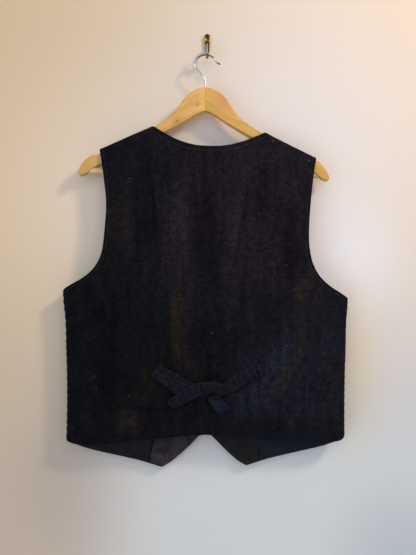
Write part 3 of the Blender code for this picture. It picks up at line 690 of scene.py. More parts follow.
# --- finishes
class Finish:
    """A Principled material, built up node by node."""

    def __init__(self, name, **constants):
        self.material = bpy.data.materials.new(name)
        self.material.use_nodes = True
        self.tree = self.material.node_tree
        self.shader = self.tree.nodes["Principled BSDF"]
        self.set(**constants)

    def set(self, **sockets):
        self.fill(self.shader, sockets)

    def put(self, socket, value):
        if isinstance(value, bpy.types.NodeSocket):
            self.tree.links.new(value, socket)
        elif hasattr(value, "__len__") and socket.type == "RGBA":
            socket.default_value = (*value[:3], 1.0)
        else:
            socket.default_value = value

    def fill(self, node, sockets):
        for name, value in sockets.items():
            self.put(node.inputs[name.replace("_", " ")], value)

    def node(self, kind, settings=(), **sockets):
        made = self.tree.nodes.new("ShaderNode" + kind)
        for name, value in dict(settings).items():
            setattr(made, name, value)
        self.fill(made, sockets)
        return made

    def place(self, scale=(1, 1, 1), turn=(0, 0, 0), centre=(0, 0, 0), cut=False):
        """Object coordinates, or the flat cut's own in metres, centred, turned and stretched."""
        if cut:
            source = self.node("UVMap", {"uv_map": "cut"}).outputs["UV"]
        else:
            source = self.node("TexCoord").outputs["Object"]
        centred = self.vector_maths("SUBTRACT", source, centre)
        turned = self.node("Mapping", Vector=centred, Rotation=turn).outputs["Vector"]
        return self.vector_maths("MULTIPLY", turned, scale)

    def vector_maths(self, operation, a, b):
        made = self.node("VectorMath", {"operation": operation})
        self.tree.links.new(a, made.inputs[0])
        made.inputs[1].default_value = b
        return made.outputs["Value" if operation == "DISTANCE" else "Vector"]

    def away(self, vector, place=(0.0, 0.0, 0.0)):
        return self.vector_maths("DISTANCE", vector, place)

    def noise(self, vector, scale, detail=4.0, rough=0.55, bend=0.0):
        return self.node("TexNoise", Vector=vector, Scale=scale, Detail=detail, Roughness=rough,
                         Distortion=bend).outputs["Fac"]

    def maths(self, operation, a, b=0.0, c=0.0):
        made = self.node("Math", {"operation": operation})
        for socket, value in zip(made.inputs, (a, b, c)):
            self.put(socket, value)
        return made.outputs[0]

    def times(self, a, b):
        return self.maths("MULTIPLY", a, b)

    def span(self, value, low, high, to_low=0.0, to_high=1.0):
        """Ease a value from one range into another."""
        made = self.node("MapRange", {"interpolation_type": "SMOOTHSTEP"})
        for name, number in zip(("From Min", "From Max", "To Min", "To Max"), (low, high, to_low, to_high)):
            made.inputs[name].default_value = number
        self.tree.links.new(value, made.inputs["Value"])
        return made.outputs["Result"]

    def mix(self, factor, a, b, blend="MIX"):
        made = self.node("Mix", {"data_type": "RGBA", "blend_type": blend, "clamp_factor": True})
        for index, value in ((0, factor), (6, a), (7, b)):
            self.put(made.inputs[index], value)
        return made.outputs[2]

    def axes(self, vector):
        return self.node("SeparateXYZ", Vector=vector).outputs

    def bump(self, height, strength, distance, under=None):
        made = self.node("Bump", Height=height, Strength=strength, Distance=distance)
        if under is not None:
            self.tree.links.new(under, made.inputs["Normal"])
        return made.outputs["Normal"]

    def wave(self, value, period):
        """A sine of a length in metres, from 0 to 1."""
        turned = self.times(value, tau / period)
        return self.maths("MULTIPLY_ADD", self.maths("SINE", turned), 0.5, 0.5)


@cache
def finish(name):
    """Each finish is made once, the first time that a piece asks for it."""
    return FINISH_MAKERS[name]()


def scaled(tint, factor):
    """A tint made lighter or darker, all over or channel by channel."""
    factors = factor if hasattr(factor, "__len__") else (factor,) * 3
    return tuple(channel * part for channel, part in zip(tint, factors))


def make_velvet(name="velveteen", strength=1.0, strap=False):
    look = cloth()
    made = Finish(name, Roughness=0.95, Specular_IOR_Level=0.05, Sheen_Weight=look.pile_sheen,
                  Sheen_Roughness=0.38, Sheen_Tint=look.pile_cool)
    cut = made.place(cut=True)
    tufts = made.noise(cut, 560.0, 3.0, 0.75)
    drawn = made.noise(made.place((1.0, 0.22, 1.0), cut=True), 380.0, 3.0, 0.65, 0.3)
    streaks = made.noise(made.place((1.0, 0.12, 1.0), cut=True), 70.0, 4.0, 0.6, 0.4)
    crushed = made.noise(cut, 90.0, 5.0, 0.72, 0.15)
    mottled = made.noise(cut, 230.0, 3.0, 0.6, 0.3)
    broad = made.noise(cut, 12.0, 4.0, 0.6, 0.4)
    along = made.axes(cut)
    # Painted cool light: bluer pile at the lower right and, darker, along the foot.
    low = made.span(along["Y"], -0.44, -0.6)
    lower_right = made.times(low, made.span(along["X"], 0.0, 0.1))
    # Painted light: paler violet pile at the upper right, where the warm lamp falls.
    upper_right = made.times(made.span(along["Y"], -0.56, -0.36), made.span(along["X"], -0.32, 0.08))
    foot = made.times(made.span(along["Y"], -0.655, -0.7), made.span(along["X"], -0.1, -0.02))
    base = made.mix(upper_right, scaled(look.velvet, strength), scaled(look.painted_light_violet, strength))
    base = made.mix(lower_right, base, scaled(look.painted_cool_light_blue, strength))
    base = made.mix(made.times(foot, 0.8), base, scaled(look.painted_cool_light_blue, strength * 0.5))
    if strap:
        # Painted cool light on the belt's hanging end.
        place = made.axes(made.place())
        tail = made.times(made.span(place["X"], -0.004, 0.006), made.span(place["Z"], -0.642, -0.648))
        base = made.mix(tail, look.strap_pile, look.painted_cool_light_tail)
    # Painted warm lamplight on the crests, broken up by streaks.
    warm_light_mask = made.node("Attribute", {"attribute_name": "painted_warm_light"}).outputs["Fac"]
    broken = made.times(warm_light_mask, made.span(streaks, 0.3, 0.62, 0.25, 1.0))
    base = made.mix(broken, base, look.painted_warm_light_brown)
    # Painted light and shade: crests of folds and creases paler, troughs darker, and on the belt its
    # painted edge light and shade; random grain follows.
    relief = made.node("Attribute", {"attribute_name": "relief"}).outputs["Fac"]
    tone = made.span(relief, -1.0, 1.0, 0.55, 1.9 if strap else 1.28)
    for grain, *ranges in ((tufts, 0.3, 0.72, 0.6, 1.55), (mottled, 0.32, 0.68, 0.72, 1.32),
                           (crushed, 0.3, 0.7, 0.66, 1.45), (streaks, 0.3, 0.72, 0.82, 1.25),
                           (broad, 0.3, 0.7, 0.84, 1.14)):
        tone = made.times(tone, made.span(grain, *ranges))
    grey = made.node("CombineColor", Red=tone, Green=tone, Blue=tone).outputs[0]
    base = made.mix(1.0, base, grey, "MULTIPLY")
    bump = made.bump(crushed, 0.45, 0.0012)
    bump = made.bump(drawn, 0.6, 0.0009, bump)
    bump = made.bump(tufts, 0.8, 0.0008, bump)
    made.set(Base_Color=base, Normal=bump)
    return made.material


def make_facing():
    look = cloth()
    made = Finish("facing_cloth", Roughness=0.86, Specular_IOR_Level=0.2, Sheen_Weight=0.12,
                  Sheen_Roughness=0.5)
    cut = made.place(cut=True)
    along = made.axes(cut)
    warp = made.wave(along["X"], 0.00075)
    weft = made.wave(along["Y"], 0.00095)
    weave = made.times(warp, weft)
    worn = made.noise(cut, 34.0, 4.0, 0.6, 0.5)
    speck = made.noise(cut, 520.0, 2.0, 0.6)
    base = made.mix(made.span(worn, 0.4, 0.62), scaled(look.facing, 0.34), scaled(look.facing, 0.84))
    left = made.mix(made.span(worn, 0.38, 0.6), scaled(look.facing, 0.95), scaled(look.facing, 2.9))
    base = made.mix(made.span(along["X"], 0.02, -0.02), base, left)
    base = made.mix(made.span(speck, 0.45, 0.75, 0.0, 0.35), base, scaled(look.facing, 2.1))
    relief = made.bump(worn, 0.5, 0.0016)
    relief = made.bump(weave, 0.5, 0.0004, relief)
    made.set(Base_Color=base, Normal=relief)
    return made.material


def make_lining(name="ribbed_lining", ribs=True):
    look = cloth()
    made = Finish(name, Roughness=0.7, Specular_IOR_Level=0.12, Sheen_Weight=0.05, Sheen_Roughness=0.4)
    cut = made.place(cut=True)
    along = made.axes(cut)
    worn = made.noise(cut, 30.0, 4.0, 0.6, 0.6)
    rib = made.wave(along["X"], 0.0037)
    fine = made.wave(along["Y"], 0.0007)
    base = made.mix(made.span(worn, 0.36, 0.68), scaled(look.lining, 0.65), scaled(look.lining, 1.35))
    left = made.span(along["X"], 0.05, -0.05)
    brown = made.mix(made.span(worn, 0.4, 0.62), (0.0042, 0.0032, 0.003), (0.018, 0.0112, 0.0064))
    base = made.mix(left, base, brown)
    if ribs:
        # Painted shade in the furrows between the ribs.
        base = made.mix(made.span(rib, 0.15, 0.95, 0.0, 0.75), scaled(look.lining, 0.42), base)
    relief = made.bump(worn, 0.4, 0.0018)
    relief = made.bump(made.maths("MULTIPLY_ADD", fine, 0.1, rib), 0.7 if ribs else 0.15, 0.0006, relief)
    made.set(Base_Color=base, Normal=relief)
    return made.material


def make_thread(name, tint, metal=0.0, rough=0.7, period=0.0009):
    made = Finish(name, Roughness=rough, Metallic=metal, Specular_IOR_Level=0.4, Sheen_Weight=0.2)
    spot = made.place()
    grain = made.noise(spot, 900.0, 2.0, 0.6)
    twist = made.axes(made.place(turn=(0.0, radians(38), 0.0)))
    plies = made.wave(twist["X"], period)
    base = made.mix(made.span(grain, 0.35, 0.7), scaled(tint, 0.6), scaled(tint, 1.15))
    # Painted shade in the furrows between the plies.
    base = made.mix(made.span(plies, 0.0, 0.5, 0.45, 0.0), base, scaled(tint, 0.3))
    made.set(Base_Color=base, Normal=made.bump(plies, 0.6, 0.0003))
    return made.material


def make_wood(name, tint, lean, knots=(), painted_shade=None, strip=False):
    """Varnished beech; lean is how the grain slopes, in degrees, knots hold (x, z, radius), and a patch of
    painted shade is given as (x, z, radius, tint).
    """
    made = Finish(name, Roughness=0.4, Specular_IOR_Level=0.45, Coat_Weight=0.22, Coat_Roughness=0.22)
    turn = (0.0, radians(lean), 0.0)

    def figure(stretch, *noise):
        return made.noise(made.place(stretch, turn), 1.0, *noise)

    grain = figure((9.0, 120.0, 120.0), 5.0, 0.62, 0.7)
    growth = figure((2.2, 26.0, 34.0), 3.0, 0.5, 1.4)
    bands = made.maths("FRACT", made.times(growth, 6.0))
    flecks = figure((150.0, 900.0, 900.0), 2.0, 0.5)
    pores = figure((60.0, 1500.0, 1500.0), 1.0, 0.5)
    cloudy = made.noise(made.place(), 21.0, 3.0, 0.6)
    base = made.mix(made.span(grain, 0.34, 0.68), scaled(tint, 0.84), scaled(tint, 1.16))
    for pattern, low, high, most, darker in (
            (bands, 0.62, 0.98, 0.34, (0.66, 0.55, 0.42)), (cloudy, 0.46, 0.74, 0.4, (0.8, 0.66, 0.5)),
            (flecks, 0.62, 0.74, 0.5, 0.5), (pores, 0.6, 0.74, 0.22, 0.4)):
        base = made.mix(made.span(pattern, low, high, 0.0, most), base, scaled(tint, darker))
    spot = made.place()
    # A patch of painted shade, darker and browner, broken up by the grain.
    if painted_shade:
        x, z, radius, tone = painted_shade
        near = made.span(made.away(spot, (x, HANGER_AT.y, z)), radius, 0.0)
        base = made.mix(made.times(near, made.span(grain, 0.3, 0.6, 0.6, 1.0)), base, tone)
    for x, z, radius in knots:
        away = made.away(made.place(centre=(x, 0.0, z), scale=(0.62, 0.0, 1.0), turn=turn))
        for far, near, most, darker in ((3.2, 1.0, 0.42, (0.66, 0.46, 0.26)),
                                        (1.0, 0.3, 0.85, (0.42, 0.24, 0.12))):
            reach = made.span(away, radius * far, radius * near, 0.0, most)
            base = made.mix(reach, base, scaled(tint, darker))
    if strip:
        along = made.axes(made.place(centre=(HANGER_AT.x, 0.0, HANGER_AT.z)))
        inside = made.times(made.span(along["X"], -0.0118, -0.0104),
                            made.span(along["Z"], -0.0285, -0.0268))
        base = made.mix(made.times(inside, 0.3), base, scaled(tint, 1.18))
    relief = made.bump(grain, 0.12, 0.0006)
    relief = made.bump(flecks, 0.15, 0.0002, relief)
    made.set(Base_Color=base, Normal=relief)
    return made.material


def make_wire():
    """Worn nickel, with painted highlights at its bends; darker and browner over the arch and at the tip.
    """
    look = hanger()
    made = Finish("nickelled_wire", Metallic=1.0, Specular_IOR_Level=0.5)
    spot = made.place()
    dull = made.noise(spot, 150.0, 3.0, 0.6)
    scratch = made.noise(made.place((400.0, 400.0, 2600.0)), 1.0, 2.0, 0.5)
    across = made.axes(made.place(scale=(1.0, 0.0, 1.0), turn=(0.0, radians(45), 0.0)))["X"]
    base = made.mix(made.span(dull, 0.35, 0.72), scaled(look.wire, 0.74), scaled(look.wire, 0.5))
    grime = made.wave(across, 0.0065)
    base = made.mix(made.times(grime, 0.35), base, scaled(look.wire, 0.25))
    along = made.axes(made.place())
    arch = made.span(along["Z"], -0.048, -0.04)
    base = made.mix(made.times(arch, 0.92), base, (0.15, 0.105, 0.07))
    tip = made.times(made.span(along["X"], 0.015, 0.02), 0.9)
    base = made.mix(tip, base, (0.115, 0.085, 0.07))
    # Painted highlights, pale blue-white, at the wire's bends.
    for x, z in WIRE_BEND_GLINTS:
        near = made.span(made.away(spot, (x, HANGER_AT.y, z)), 0.0046, 0.001, 0.0, 0.9)
        base = made.mix(near, base, (0.8, 0.9, 1.0))
    made.set(Base_Color=base, Roughness=made.span(dull, 0.3, 0.8, 0.14, 0.34),
             Normal=made.bump(scratch, 0.06, 0.0002))
    return made.material


def make_brass():
    look = bpy.context.scene.waistcoat_wall_hook
    made = Finish("aged_brass", Metallic=0.92, Specular_IOR_Level=0.5)
    spot = made.place()
    blotch = made.noise(spot, 210.0, 4.0, 0.62, 0.6)
    pits = made.noise(spot, 1300.0, 2.0, 0.6)
    tarnish = made.span(blotch, 0.44, 0.58)
    for height in (SCREW_HEIGHT, -SCREW_HEIGHT):
        ring = made.span(made.away(spot, (0.0, -PLATE_THICK, height)), 0.006, 0.0037)
        tarnish = made.maths("MAXIMUM", tarnish, ring)
    along = made.axes(spot)
    out = made.maths("ABSOLUTE", along["X"])
    rubbed = made.span(out, 0.003, 0.005, 0.0, 0.85)
    tarnish = made.times(tarnish, made.maths("SUBTRACT", 1.0, rubbed))
    green = made.mix(made.span(pits, 0.45, 0.65), look.patina, (0.06, 0.075, 0.055))
    clean = made.mix(made.span(pits, 0.3, 0.7), look.brass, scaled(look.brass, 0.7))
    base = made.mix(tarnish, clean, green)
    # On the front of the prong: a painted greenish highlight down its left, painted shade down its right,
    # golden-brown lower down.
    on_prong = made.span(along["Y"], -0.024, -0.029)
    shaded = made.span(along["X"], 0.0004, 0.0014)
    front = made.mix(shaded, (0.36, 0.4, 0.33), scaled(look.patina, 0.8))
    low_prong = made.span(along["Z"], -0.0345, -0.04)
    front = made.mix(low_prong, front, scaled(look.brass, 0.55))
    base = made.mix(on_prong, base, front)
    made.set(Base_Color=base, Roughness=made.span(blotch, 0.3, 0.7, 0.3, 0.55),
             Normal=made.bump(pits, 0.25, 0.0003))
    return made.material


def make_steel():
    made = Finish("blackened_steel", Metallic=0.85, Roughness=0.46)
    pits = made.noise(made.place(), 900.0, 3.0, 0.6)
    steel = bpy.context.scene.waistcoat_wall_hook.steel
    base = made.mix(made.span(pits, 0.42, 0.7), steel, (0.1, 0.075, 0.05))
    made.set(Base_Color=base, Normal=made.bump(pits, 0.3, 0.0003))
    return made.material


def make_gilt():
    made = Finish("gilt_metal", Metallic=1.0)
    dull = made.noise(made.place(), 260.0, 3.0, 0.6)
    base = made.mix(made.span(dull, 0.38, 0.68), (0.62, 0.42, 0.13), (0.22, 0.14, 0.05))
    made.set(Base_Color=base, Roughness=made.span(dull, 0.3, 0.7, 0.24, 0.46),
             Normal=made.bump(dull, 0.12, 0.0003))
    return made.material


def make_lint():
    made = Finish("lint", Roughness=0.95, Sheen_Weight=0.5)
    tone = made.noise(made.place(), 90.0, 1.0)
    made.set(Base_Color=made.mix(made.span(tone, 0.35, 0.65), (0.075, 0.078, 0.095), (0.22, 0.21, 0.21)))
    return made.material


KNOTS = ((-0.0172, -0.1264, 0.0015), (-0.053, -0.156, 0.0026))     # x, z, radius
# Patches of painted shade: at the end of the left arm, and at the right of the head.
PALE_ARM_PAINTED_SHADE = (-0.212, -0.243, 0.055, (0.48, 0.29, 0.088))      # x, z, radius, tint
WARM_ARM_PAINTED_SHADE = (0.03, -0.117, 0.034, (0.52, 0.235, 0.068))
FINISH_MAKERS = {
    "velvet": make_velvet,
    "strap_velvet": lambda: make_velvet("strap_velveteen", 1.05, strap=True),
    "facing": make_facing,
    "lining": make_lining,
    "back_lining": lambda: make_lining("plain_lining", ribs=False),
    "thread": lambda: make_thread("black_thread", cloth().thread),
    "gold": lambda: make_thread("gold_thread", cloth().gold, 0.55, 0.42, 0.0006),
    "cream": lambda: make_thread("cream_thread", cloth().cream, 0.0, 0.6, 0.0006),
    "pale_wood": lambda: make_wood("pale_beech", hanger().pale_wood, 28.0, KNOTS, PALE_ARM_PAINTED_SHADE, strip=True),
    "warm_wood": lambda: make_wood("warm_beech", hanger().warm_wood, -28.0, painted_shade=WARM_ARM_PAINTED_SHADE),
    "dowel": lambda: make_wood("dowel_wood", hanger().dowel, 0.0),
    "wire": make_wire,
    "brass": make_brass,
    "steel": make_steel,
    "gilt": make_gilt,
    "lint": make_lint,
}


# --- the panels
BACK_WALL = 0.0018
FRONT_WALL = 0.0016
LINING_WALL = 0.001
LAYER_GAP = 0.0003
EDGE_TURN = 0.0026              # the cloth rounds over at a free edge within this distance
BACK_COLUMNS = 220
BACK_ROWS = (112, 82)
FRONT_COLUMNS = 104
FRONT_ROWS = (100, 74)
STRIP_ROWS = (80, 56)


def half(line, hand):
    """The mirror image of an edge of the cut, or the edge itself."""
    return lambda part: Vector((hand * line(part)[0], line(part)[1]))


def whole_edge(line, reach):
    """An edge of the back from side to side, from the line of its right half."""
    def at(part):
        out = reach * (2.0 * part - 1.0)
        return Vector((out, line(abs(out))))
    return at


back_neck_edge = whole_edge(back_neck_line, NECK_POINT.out)
back_hem_edge = whole_edge(back_hem_line, SIDE_SEAM[0].out)


def stitched_relief(edges, x, z):
    """A groove along each line of topstitching, a puffed edge beside it and small puckers across."""
    relief = 0.0
    for edge, inset, waves in edges:
        distance, along = edge.nearest(x, z)
        if distance < 3.0 * inset:
            relief -= 0.00062 * bell(distance - inset, 0.0011)
            relief += 0.00034 * bell(distance - inset * 0.45, inset * 0.34)
            ripple = sin(tau * along / waves + 1.5 * sin(along * 60.0))
            relief += 0.00026 * ripple * bell(distance - inset, 0.0042)
    return relief


def turned_edge(edges, x, z, floor=0.3):
    """1 on the panel, less at its free edges, where the cloth turns under."""
    distance = min(edge.nearest(x, z)[0] for edge in edges)
    return max(rounding(1.0 - min(distance / EDGE_TURN, 1.0)), floor)


def seam_dip(edges, x, z):
    distance = min(edge.nearest(x, z)[0] for edge in edges)
    return -0.0006 * bell(distance, 0.0022) + 0.0003 * bell(distance - 0.0055, 0.003)


@cache
def map_back_edges():
    """Find the edges of the back once, for its relief and for its stitching."""
    edges = {"neck": EdgeMap(back_neck_edge, 220), "hem": EdgeMap(back_hem_edge, 300)}
    for name, hand in (("left", -1), ("right", 1)):
        edges[f"armhole_{name}"] = EdgeMap(half(armhole_line, hand), 240)
        edges[f"side_{name}"] = EdgeMap(half(side_line, hand), 160)
        edges[f"shoulder_{name}"] = EdgeMap(half(shoulder_edge, hand), 80)
    return edges


def back_relief(x, z):
    look = cloth()
    edges = map_back_edges()
    hand = "right" if x > 0 else "left"
    relief = stitched_relief(((edges["neck"], look.topstitch_inset, 0.0105),
                              (edges[f"armhole_{hand}"], look.armhole_inset, 0.0125)), x, z)
    relief += seam_dip((edges[f"side_{hand}"], edges[f"shoulder_{hand}"]), x, z)
    hem_distance, along = edges["hem"].nearest(x, z)
    relief += 0.0003 * bell(hem_distance - 0.004, 0.003)
    relief += 0.0004 * sin(along * 330.0 + 2.0 * sin(along * 47.0)) * bell(hem_distance, 0.01)
    return relief


def back_turn(x, z):
    edges = map_back_edges()
    hand = "right" if x > 0 else "left"
    return turned_edge((edges["neck"], edges["hem"], edges[f"armhole_{hand}"]), x, z)


def mirrored_cut(u, v):
    """Point of the whole back; u is negative on the left half."""
    out, height = back_cut(abs(u), v)
    return copysign(out, u), height


def build_back():
    shares = [2.0 * part - 1.0 for part in spaced(0.55, BACK_COLUMNS)]
    neck_share = NECK_POINT.out / SHOULDER_END.out
    for hand in (-1, 1):
        nearest = min(range(len(shares)), key=lambda i: abs(shares[i] - hand * neck_share))
        shares[nearest] = hand * neck_share
    cuts = [[mirrored_cut(u, v) for u in shares] for v in panel_rows(*BACK_ROWS)]
    points = [[back_form(x, z) for x, z in line] for line in cuts]
    thick = [[BACK_WALL / 2 * back_turn(x, z) for x, z in line] for line in cuts]
    inner = [[-half_wall for half_wall in line] for line in thick]
    outer = [[half_wall + back_relief(x, z) for half_wall, (x, z) in zip(*lines)]
             for lines in zip(thick, cuts)]
    last = len(shares) - 1
    on_shoulder = [abs(u) >= neck_share - 1e-6 for u in shares]
    normals = grid_normals(points, (0, last), lambda column: on_shoulder[column], BACK_ROWS[0])
    materials = [finish("velvet"), finish("back_lining")]
    panel = wall("back_panel", points, normals, inner, outer, cuts, materials)
    # Painted warm lamplight on the crests of the back's folds.
    store(panel, "painted_warm_light", lambda x, z: clamp(fold_rise(warm_light_lines, x, z)))
    # Painted shade: crests of the folds paler, troughs darker.
    store(panel, "relief", lambda x, z: painted_fold_shade(back_folds, back_creases, x, z))
    return panel


def facing_share(v):
    return read_table(FACING_SHARE, v)[0]


def front_grid(hand, shares_at, rows, draw_in=0.0):
    """Points, flat cut and normals of a front or of a strip of it, from the centre to the side."""
    cuts = [[front_cut(draw_in + u * (1.0 - draw_in), v) for u in shares_at(v)] for v in rows]
    points = [[front_form(hand, out, height) for out, height in line] for line in cuts]
    cuts = [[(hand * out, height) for out, height in line] for line in cuts]
    last = len(points[0]) - 1
    normals = grid_normals(points, (last,), lambda column: True, len(rows) // 2)
    if hand > 0:
        normals = [[-normal for normal in line] for line in normals]
    return points, cuts, normals


@cache
def map_front_edges():
    def centre_edge(part):
        return front_closing_edge(part * 2.0) if part < 0.5 else front_neck_line(part * 2.0 - 1.0)

    return {"centre": EdgeMap(centre_edge, 300), "hem": EdgeMap(front_hem_edge, 200),
            "armhole": EdgeMap(front_armhole_edge, 240), "side": EdgeMap(side_line, 160),
            "shoulder": EdgeMap(shoulder_edge, 80)}


def front_relief(x, z):
    look = cloth()
    edges = map_front_edges()
    relief = stitched_relief(((edges["centre"], look.armhole_inset, 0.014),
                              (edges["armhole"], look.armhole_inset, 0.0125),
                              (edges["hem"], look.armhole_inset, 0.015)), x, z)
    return relief + seam_dip((edges["side"], edges["shoulder"]), x, z)


def build_front(name, hand):
    shares = spaced(0.45, FRONT_COLUMNS)
    points, cuts, normals = front_grid(hand, lambda v: shares, panel_rows(*FRONT_ROWS))
    edges = map_front_edges()
    free = (edges["centre"], edges["hem"], edges["armhole"])
    inner, outer = [], []
    for line in cuts:
        turns = [turned_edge(free, abs(x) if hand * x > 0 else hand * x, z) for x, z in line]
        inner.append([-FRONT_WALL / 2 * turn for turn in turns])
        outer.append([FRONT_WALL / 2 * turn + front_relief(hand * x, z) * 0.8
                      for turn, (x, z) in zip(turns, line)])
    panel = wall(name, points, normals, inner, outer, cuts, [finish("velvet")], flip=hand > 0)
    # Painted shade: crests of the folds paler, troughs darker.
    store(panel, "relief", lambda x, z: painted_fold_shade(front_folds, front_creases, hand * x, z))
    return panel


STRIP_IN = 0.0045               # the inner layers stop this share short of the front's edge
STRIP_RIM = 0.35                # thickness left at the rim of a strip, as a share
STRIP_UP = 0.0035               # and this share above its hem
FACING_COLUMNS = 30
LINING_COLUMNS = 52


def build_strip(name, hand, kind, material):
    """Facing or lining: an inner layer of a front, on its own side of the seam between them."""
    columns = FACING_COLUMNS if kind == "facing" else LINING_COLUMNS
    parts = spaced(0.4, columns)

    def shares_at(v):
        low, high = (0.0, facing_share(v)) if kind == "facing" else (facing_share(v), 1.0)
        return [low + (high - low) * part for part in parts]

    rows = [STRIP_UP + (0.999 - STRIP_UP) * v for v in panel_rows(*STRIP_ROWS)]
    points, cuts, normals = front_grid(hand, shares_at, rows, STRIP_IN)
    thick = LINING_WALL / 2
    middle = -(FRONT_WALL / 2 + LAYER_GAP + thick)
    inner, outer = [], []
    last_row = len(cuts) - 1
    for row, line in enumerate(cuts):
        low, high = [], []
        for part, (x, z) in zip(parts, line):
            rim = (part if kind == "facing" else 1.0 - part) * columns * 0.5
            rim = min(rim, row * 0.6, (last_row - row) * 0.6)
            turn = max(rounding(1.0 - min(rim, 1.0)), STRIP_RIM)
            pleat = 0.0
            if kind == "lining":
                pleat = 0.00035 * sin(x * 420.0 + 1.2 * sin(z * 30.0)) * ease((-z - 0.6) / 0.1)
            swell = 0.00045 * rough(x * 40.0, z * 24.0, 4.0) + pleat
            low.append(middle - thick * turn - abs(swell))
            high.append(middle + thick * turn)
        inner.append(low)
        outer.append(high)
    return wall(name, points, normals, inner, outer, cuts, [material], flip=hand > 0)


# --- the belt at the back
Station = namedtuple("Station", "x z lift width thick")
STRAP_ROUTES = {                # in mm, each from where it is sewn down or comes out of the knot
    "tie_left": ((-89.3, -592.5, 1.2, 24, 2), (-79, -600, 1.2, 27, 2.1), (-61, -612, 1.2, 30, 1.9),
        (-31, -629, 1.2, 30, 1.8), (8, -632, 1.2, 19, 1.7)),
    "tie_right": ((96.5, -593.2, 1.2, 22, 2.6), (84, -598.5, 1.4, 24, 2.6), (60, -611.5, 2.5, 26.2, 2.4),
        (39, -624, 4, 22, 2.2), (16.5, -630, 5.4, 15, 2)),
    "tie_band": ((24.5, -623, 8.6, 13, 3.2), (18, -622, 8.6, 18.5, 3.6), (2, -623.5, 8.6, 21.5, 3),
        (-17, -628.5, 7, 23.5, 2.5), (-37, -638.8, 4.8, 23, 2.2), (-52, -647.8, 3.3, 20, 2.1),
        (-63.5, -655.5, 1.9, 15, 2)),
    "tie_tail": ((9, -637.5, 3.6, 17, 2), (15, -644.5, 3.3, 20.5, 2.2), (22.5, -654.5, 1.9, 21.5, 2.2),
        (31.4, -666.8, 1.6, 21.5, 2.2)),
}
STRAPS = {name: [Station(*(value / 1000 for value in row)) for row in rows]
          for name, rows in STRAP_ROUTES.items()}
STRAP_WRINKLES = {              # share of the length, slant, width as a share, rise in mm
    "tie_left": ((0.04, 0, 0.03, 0.7), (0.11, 0.3, 0.022, -0.6), (0.18, -0.2, 0.025, 0.5),
        (0.46, 0.5, 0.04, 0.5), (0.62, 0.6, 0.03, -0.5)),
    "tie_right": ((0.03, 0, 0.016, 1), (0.075, 0.1, 0.013, -1.6), (0.13, 0.2, 0.02, 0.9),
        (0.2, 0.1, 0.014, -1.3), (0.27, -0.2, 0.018, 1), (0.34, -0.1, 0.015, -1.2), (0.55, 0.6, 0.03, 0.5),
        (0.8, 0.5, 0.04, -0.6)),
    "tie_band": ((0.1, 0.1, 0.03, 0.6), (0.25, 0.15, 0.014, -1), (0.29, 0.1, 0.014, 1),
        (0.34, -0.2, 0.018, -0.7), (0.47, 0.5, 0.03, 0.6), (0.6, 0.6, 0.03, -0.5)),
    "tie_tail": ((0.2, 0.3, 0.08, 0.5), (0.9, 0, 0.05, -0.5)),
}
STRAP_STEPS = 84
STRAP_CROSS = 22
STRAP_NOSE = 0.0022             # the ends round off over this length
UNDERSIDE_AT = 0.05             # how far off the underside lies in the UV map


def gathers(name, along, across):
    """Small pleats where the left strap is sewn down."""
    if name != "tie_left":
        return 0.0
    return 0.0006 * cos(across * 14.0 + 1.0) * (1.0 - ease(along / 0.28))


def strap_length(stations):
    return sum((Vector(b[:2]) - Vector(a[:2])).length for a, b in zip(stations, stations[1:]))


def build_strap(name):
    stations = STRAPS[name]
    route = smooth_line(stations)
    total = strap_length(stations)
    rings, uvs, painted_light_values = [], [], []
    for step in range(STRAP_STEPS + 1):
        along = step / STRAP_STEPS
        x, z, lift, width, thick = route(along)
        ahead = route(along + 0.01) - route(along - 0.01)
        side = Vector((-ahead[1], ahead[0])).normalized()
        nose = max(rounding(1.0 - min(min(along, 1.0 - along) * total / STRAP_NOSE, 1.0)), 0.25)
        top, bottom = [], []            # rows of place, UV and painted light and shade
        for cross in range(STRAP_CROSS + 1):
            across = sin((2.0 * cross / STRAP_CROSS - 1.0) * pi / 2)
            wobble = 0.0005 * sin(along * 23.0 + across) + 0.0004 * rough(along * 9.0, across, 5.0)
            offset = across * (width / 2 + wobble) * (0.97 + 0.03 * nose)
            px, pz = x + side[0] * offset, z + side[1] * offset
            crown = max(1.0 - abs(across) ** 5, 0.0) ** 0.5
            relief = 0.00045 * bell(abs(across) - 0.84, 0.09) - 0.00035 * bell(abs(across) - 0.66, 0.06)
            for place, slant, reach, rise in STRAP_WRINKLES[name]:
                relief += rise / 1000 * bell(along - place - slant * across * 0.05, reach)
            relief += gathers(name, along, across) + 0.00028 * rough(px * 210.0, pz * 210.0, 8.0)
            # Painted light and shade: wrinkle crests paler and troughs darker, a painted highlight along
            # the upper edge and painted shade along the lower edge.
            upward = copysign(across, across * side[1])
            tone = relief / 0.0024 + bell(upward - 0.95, 0.06) - 0.9 * bell(upward + 0.98, 0.14)
            tone = clamp(tone * (0.7 + 0.9 * rough(px * 130.0, pz * 130.0, 2.0)), -1.0)
            height = BACK_WALL / 2 + lift + thick * 0.3 * (1.0 - crown * nose)
            top.append((back_form(px, pz, height + thick * crown * nose + relief * crown),
                        (along * total, offset), tone))
            bottom.append((back_form(px, pz, height), (along * total, offset + UNDERSIDE_AT), tone))
        ring, ring_uvs, ring_painted_light = zip(*top, *bottom[-2:0:-1])
        rings.append(ring)
        uvs += ring_uvs
        painted_light_values += ring_painted_light
    points, faces = [], []
    loft(points, faces, rings)
    strap = add_mesh(f"{name}_strap", points, faces, uvs)
    strap.data.attributes.new("relief", "FLOAT", "POINT").data.foreach_set("value", painted_light_values)
    return face_outwards(strap)


# --- stitching
def right_of(ahead):
    """The way to the right of a heading, one unit long."""
    return Vector((ahead.y, -ahead.x)).normalized()


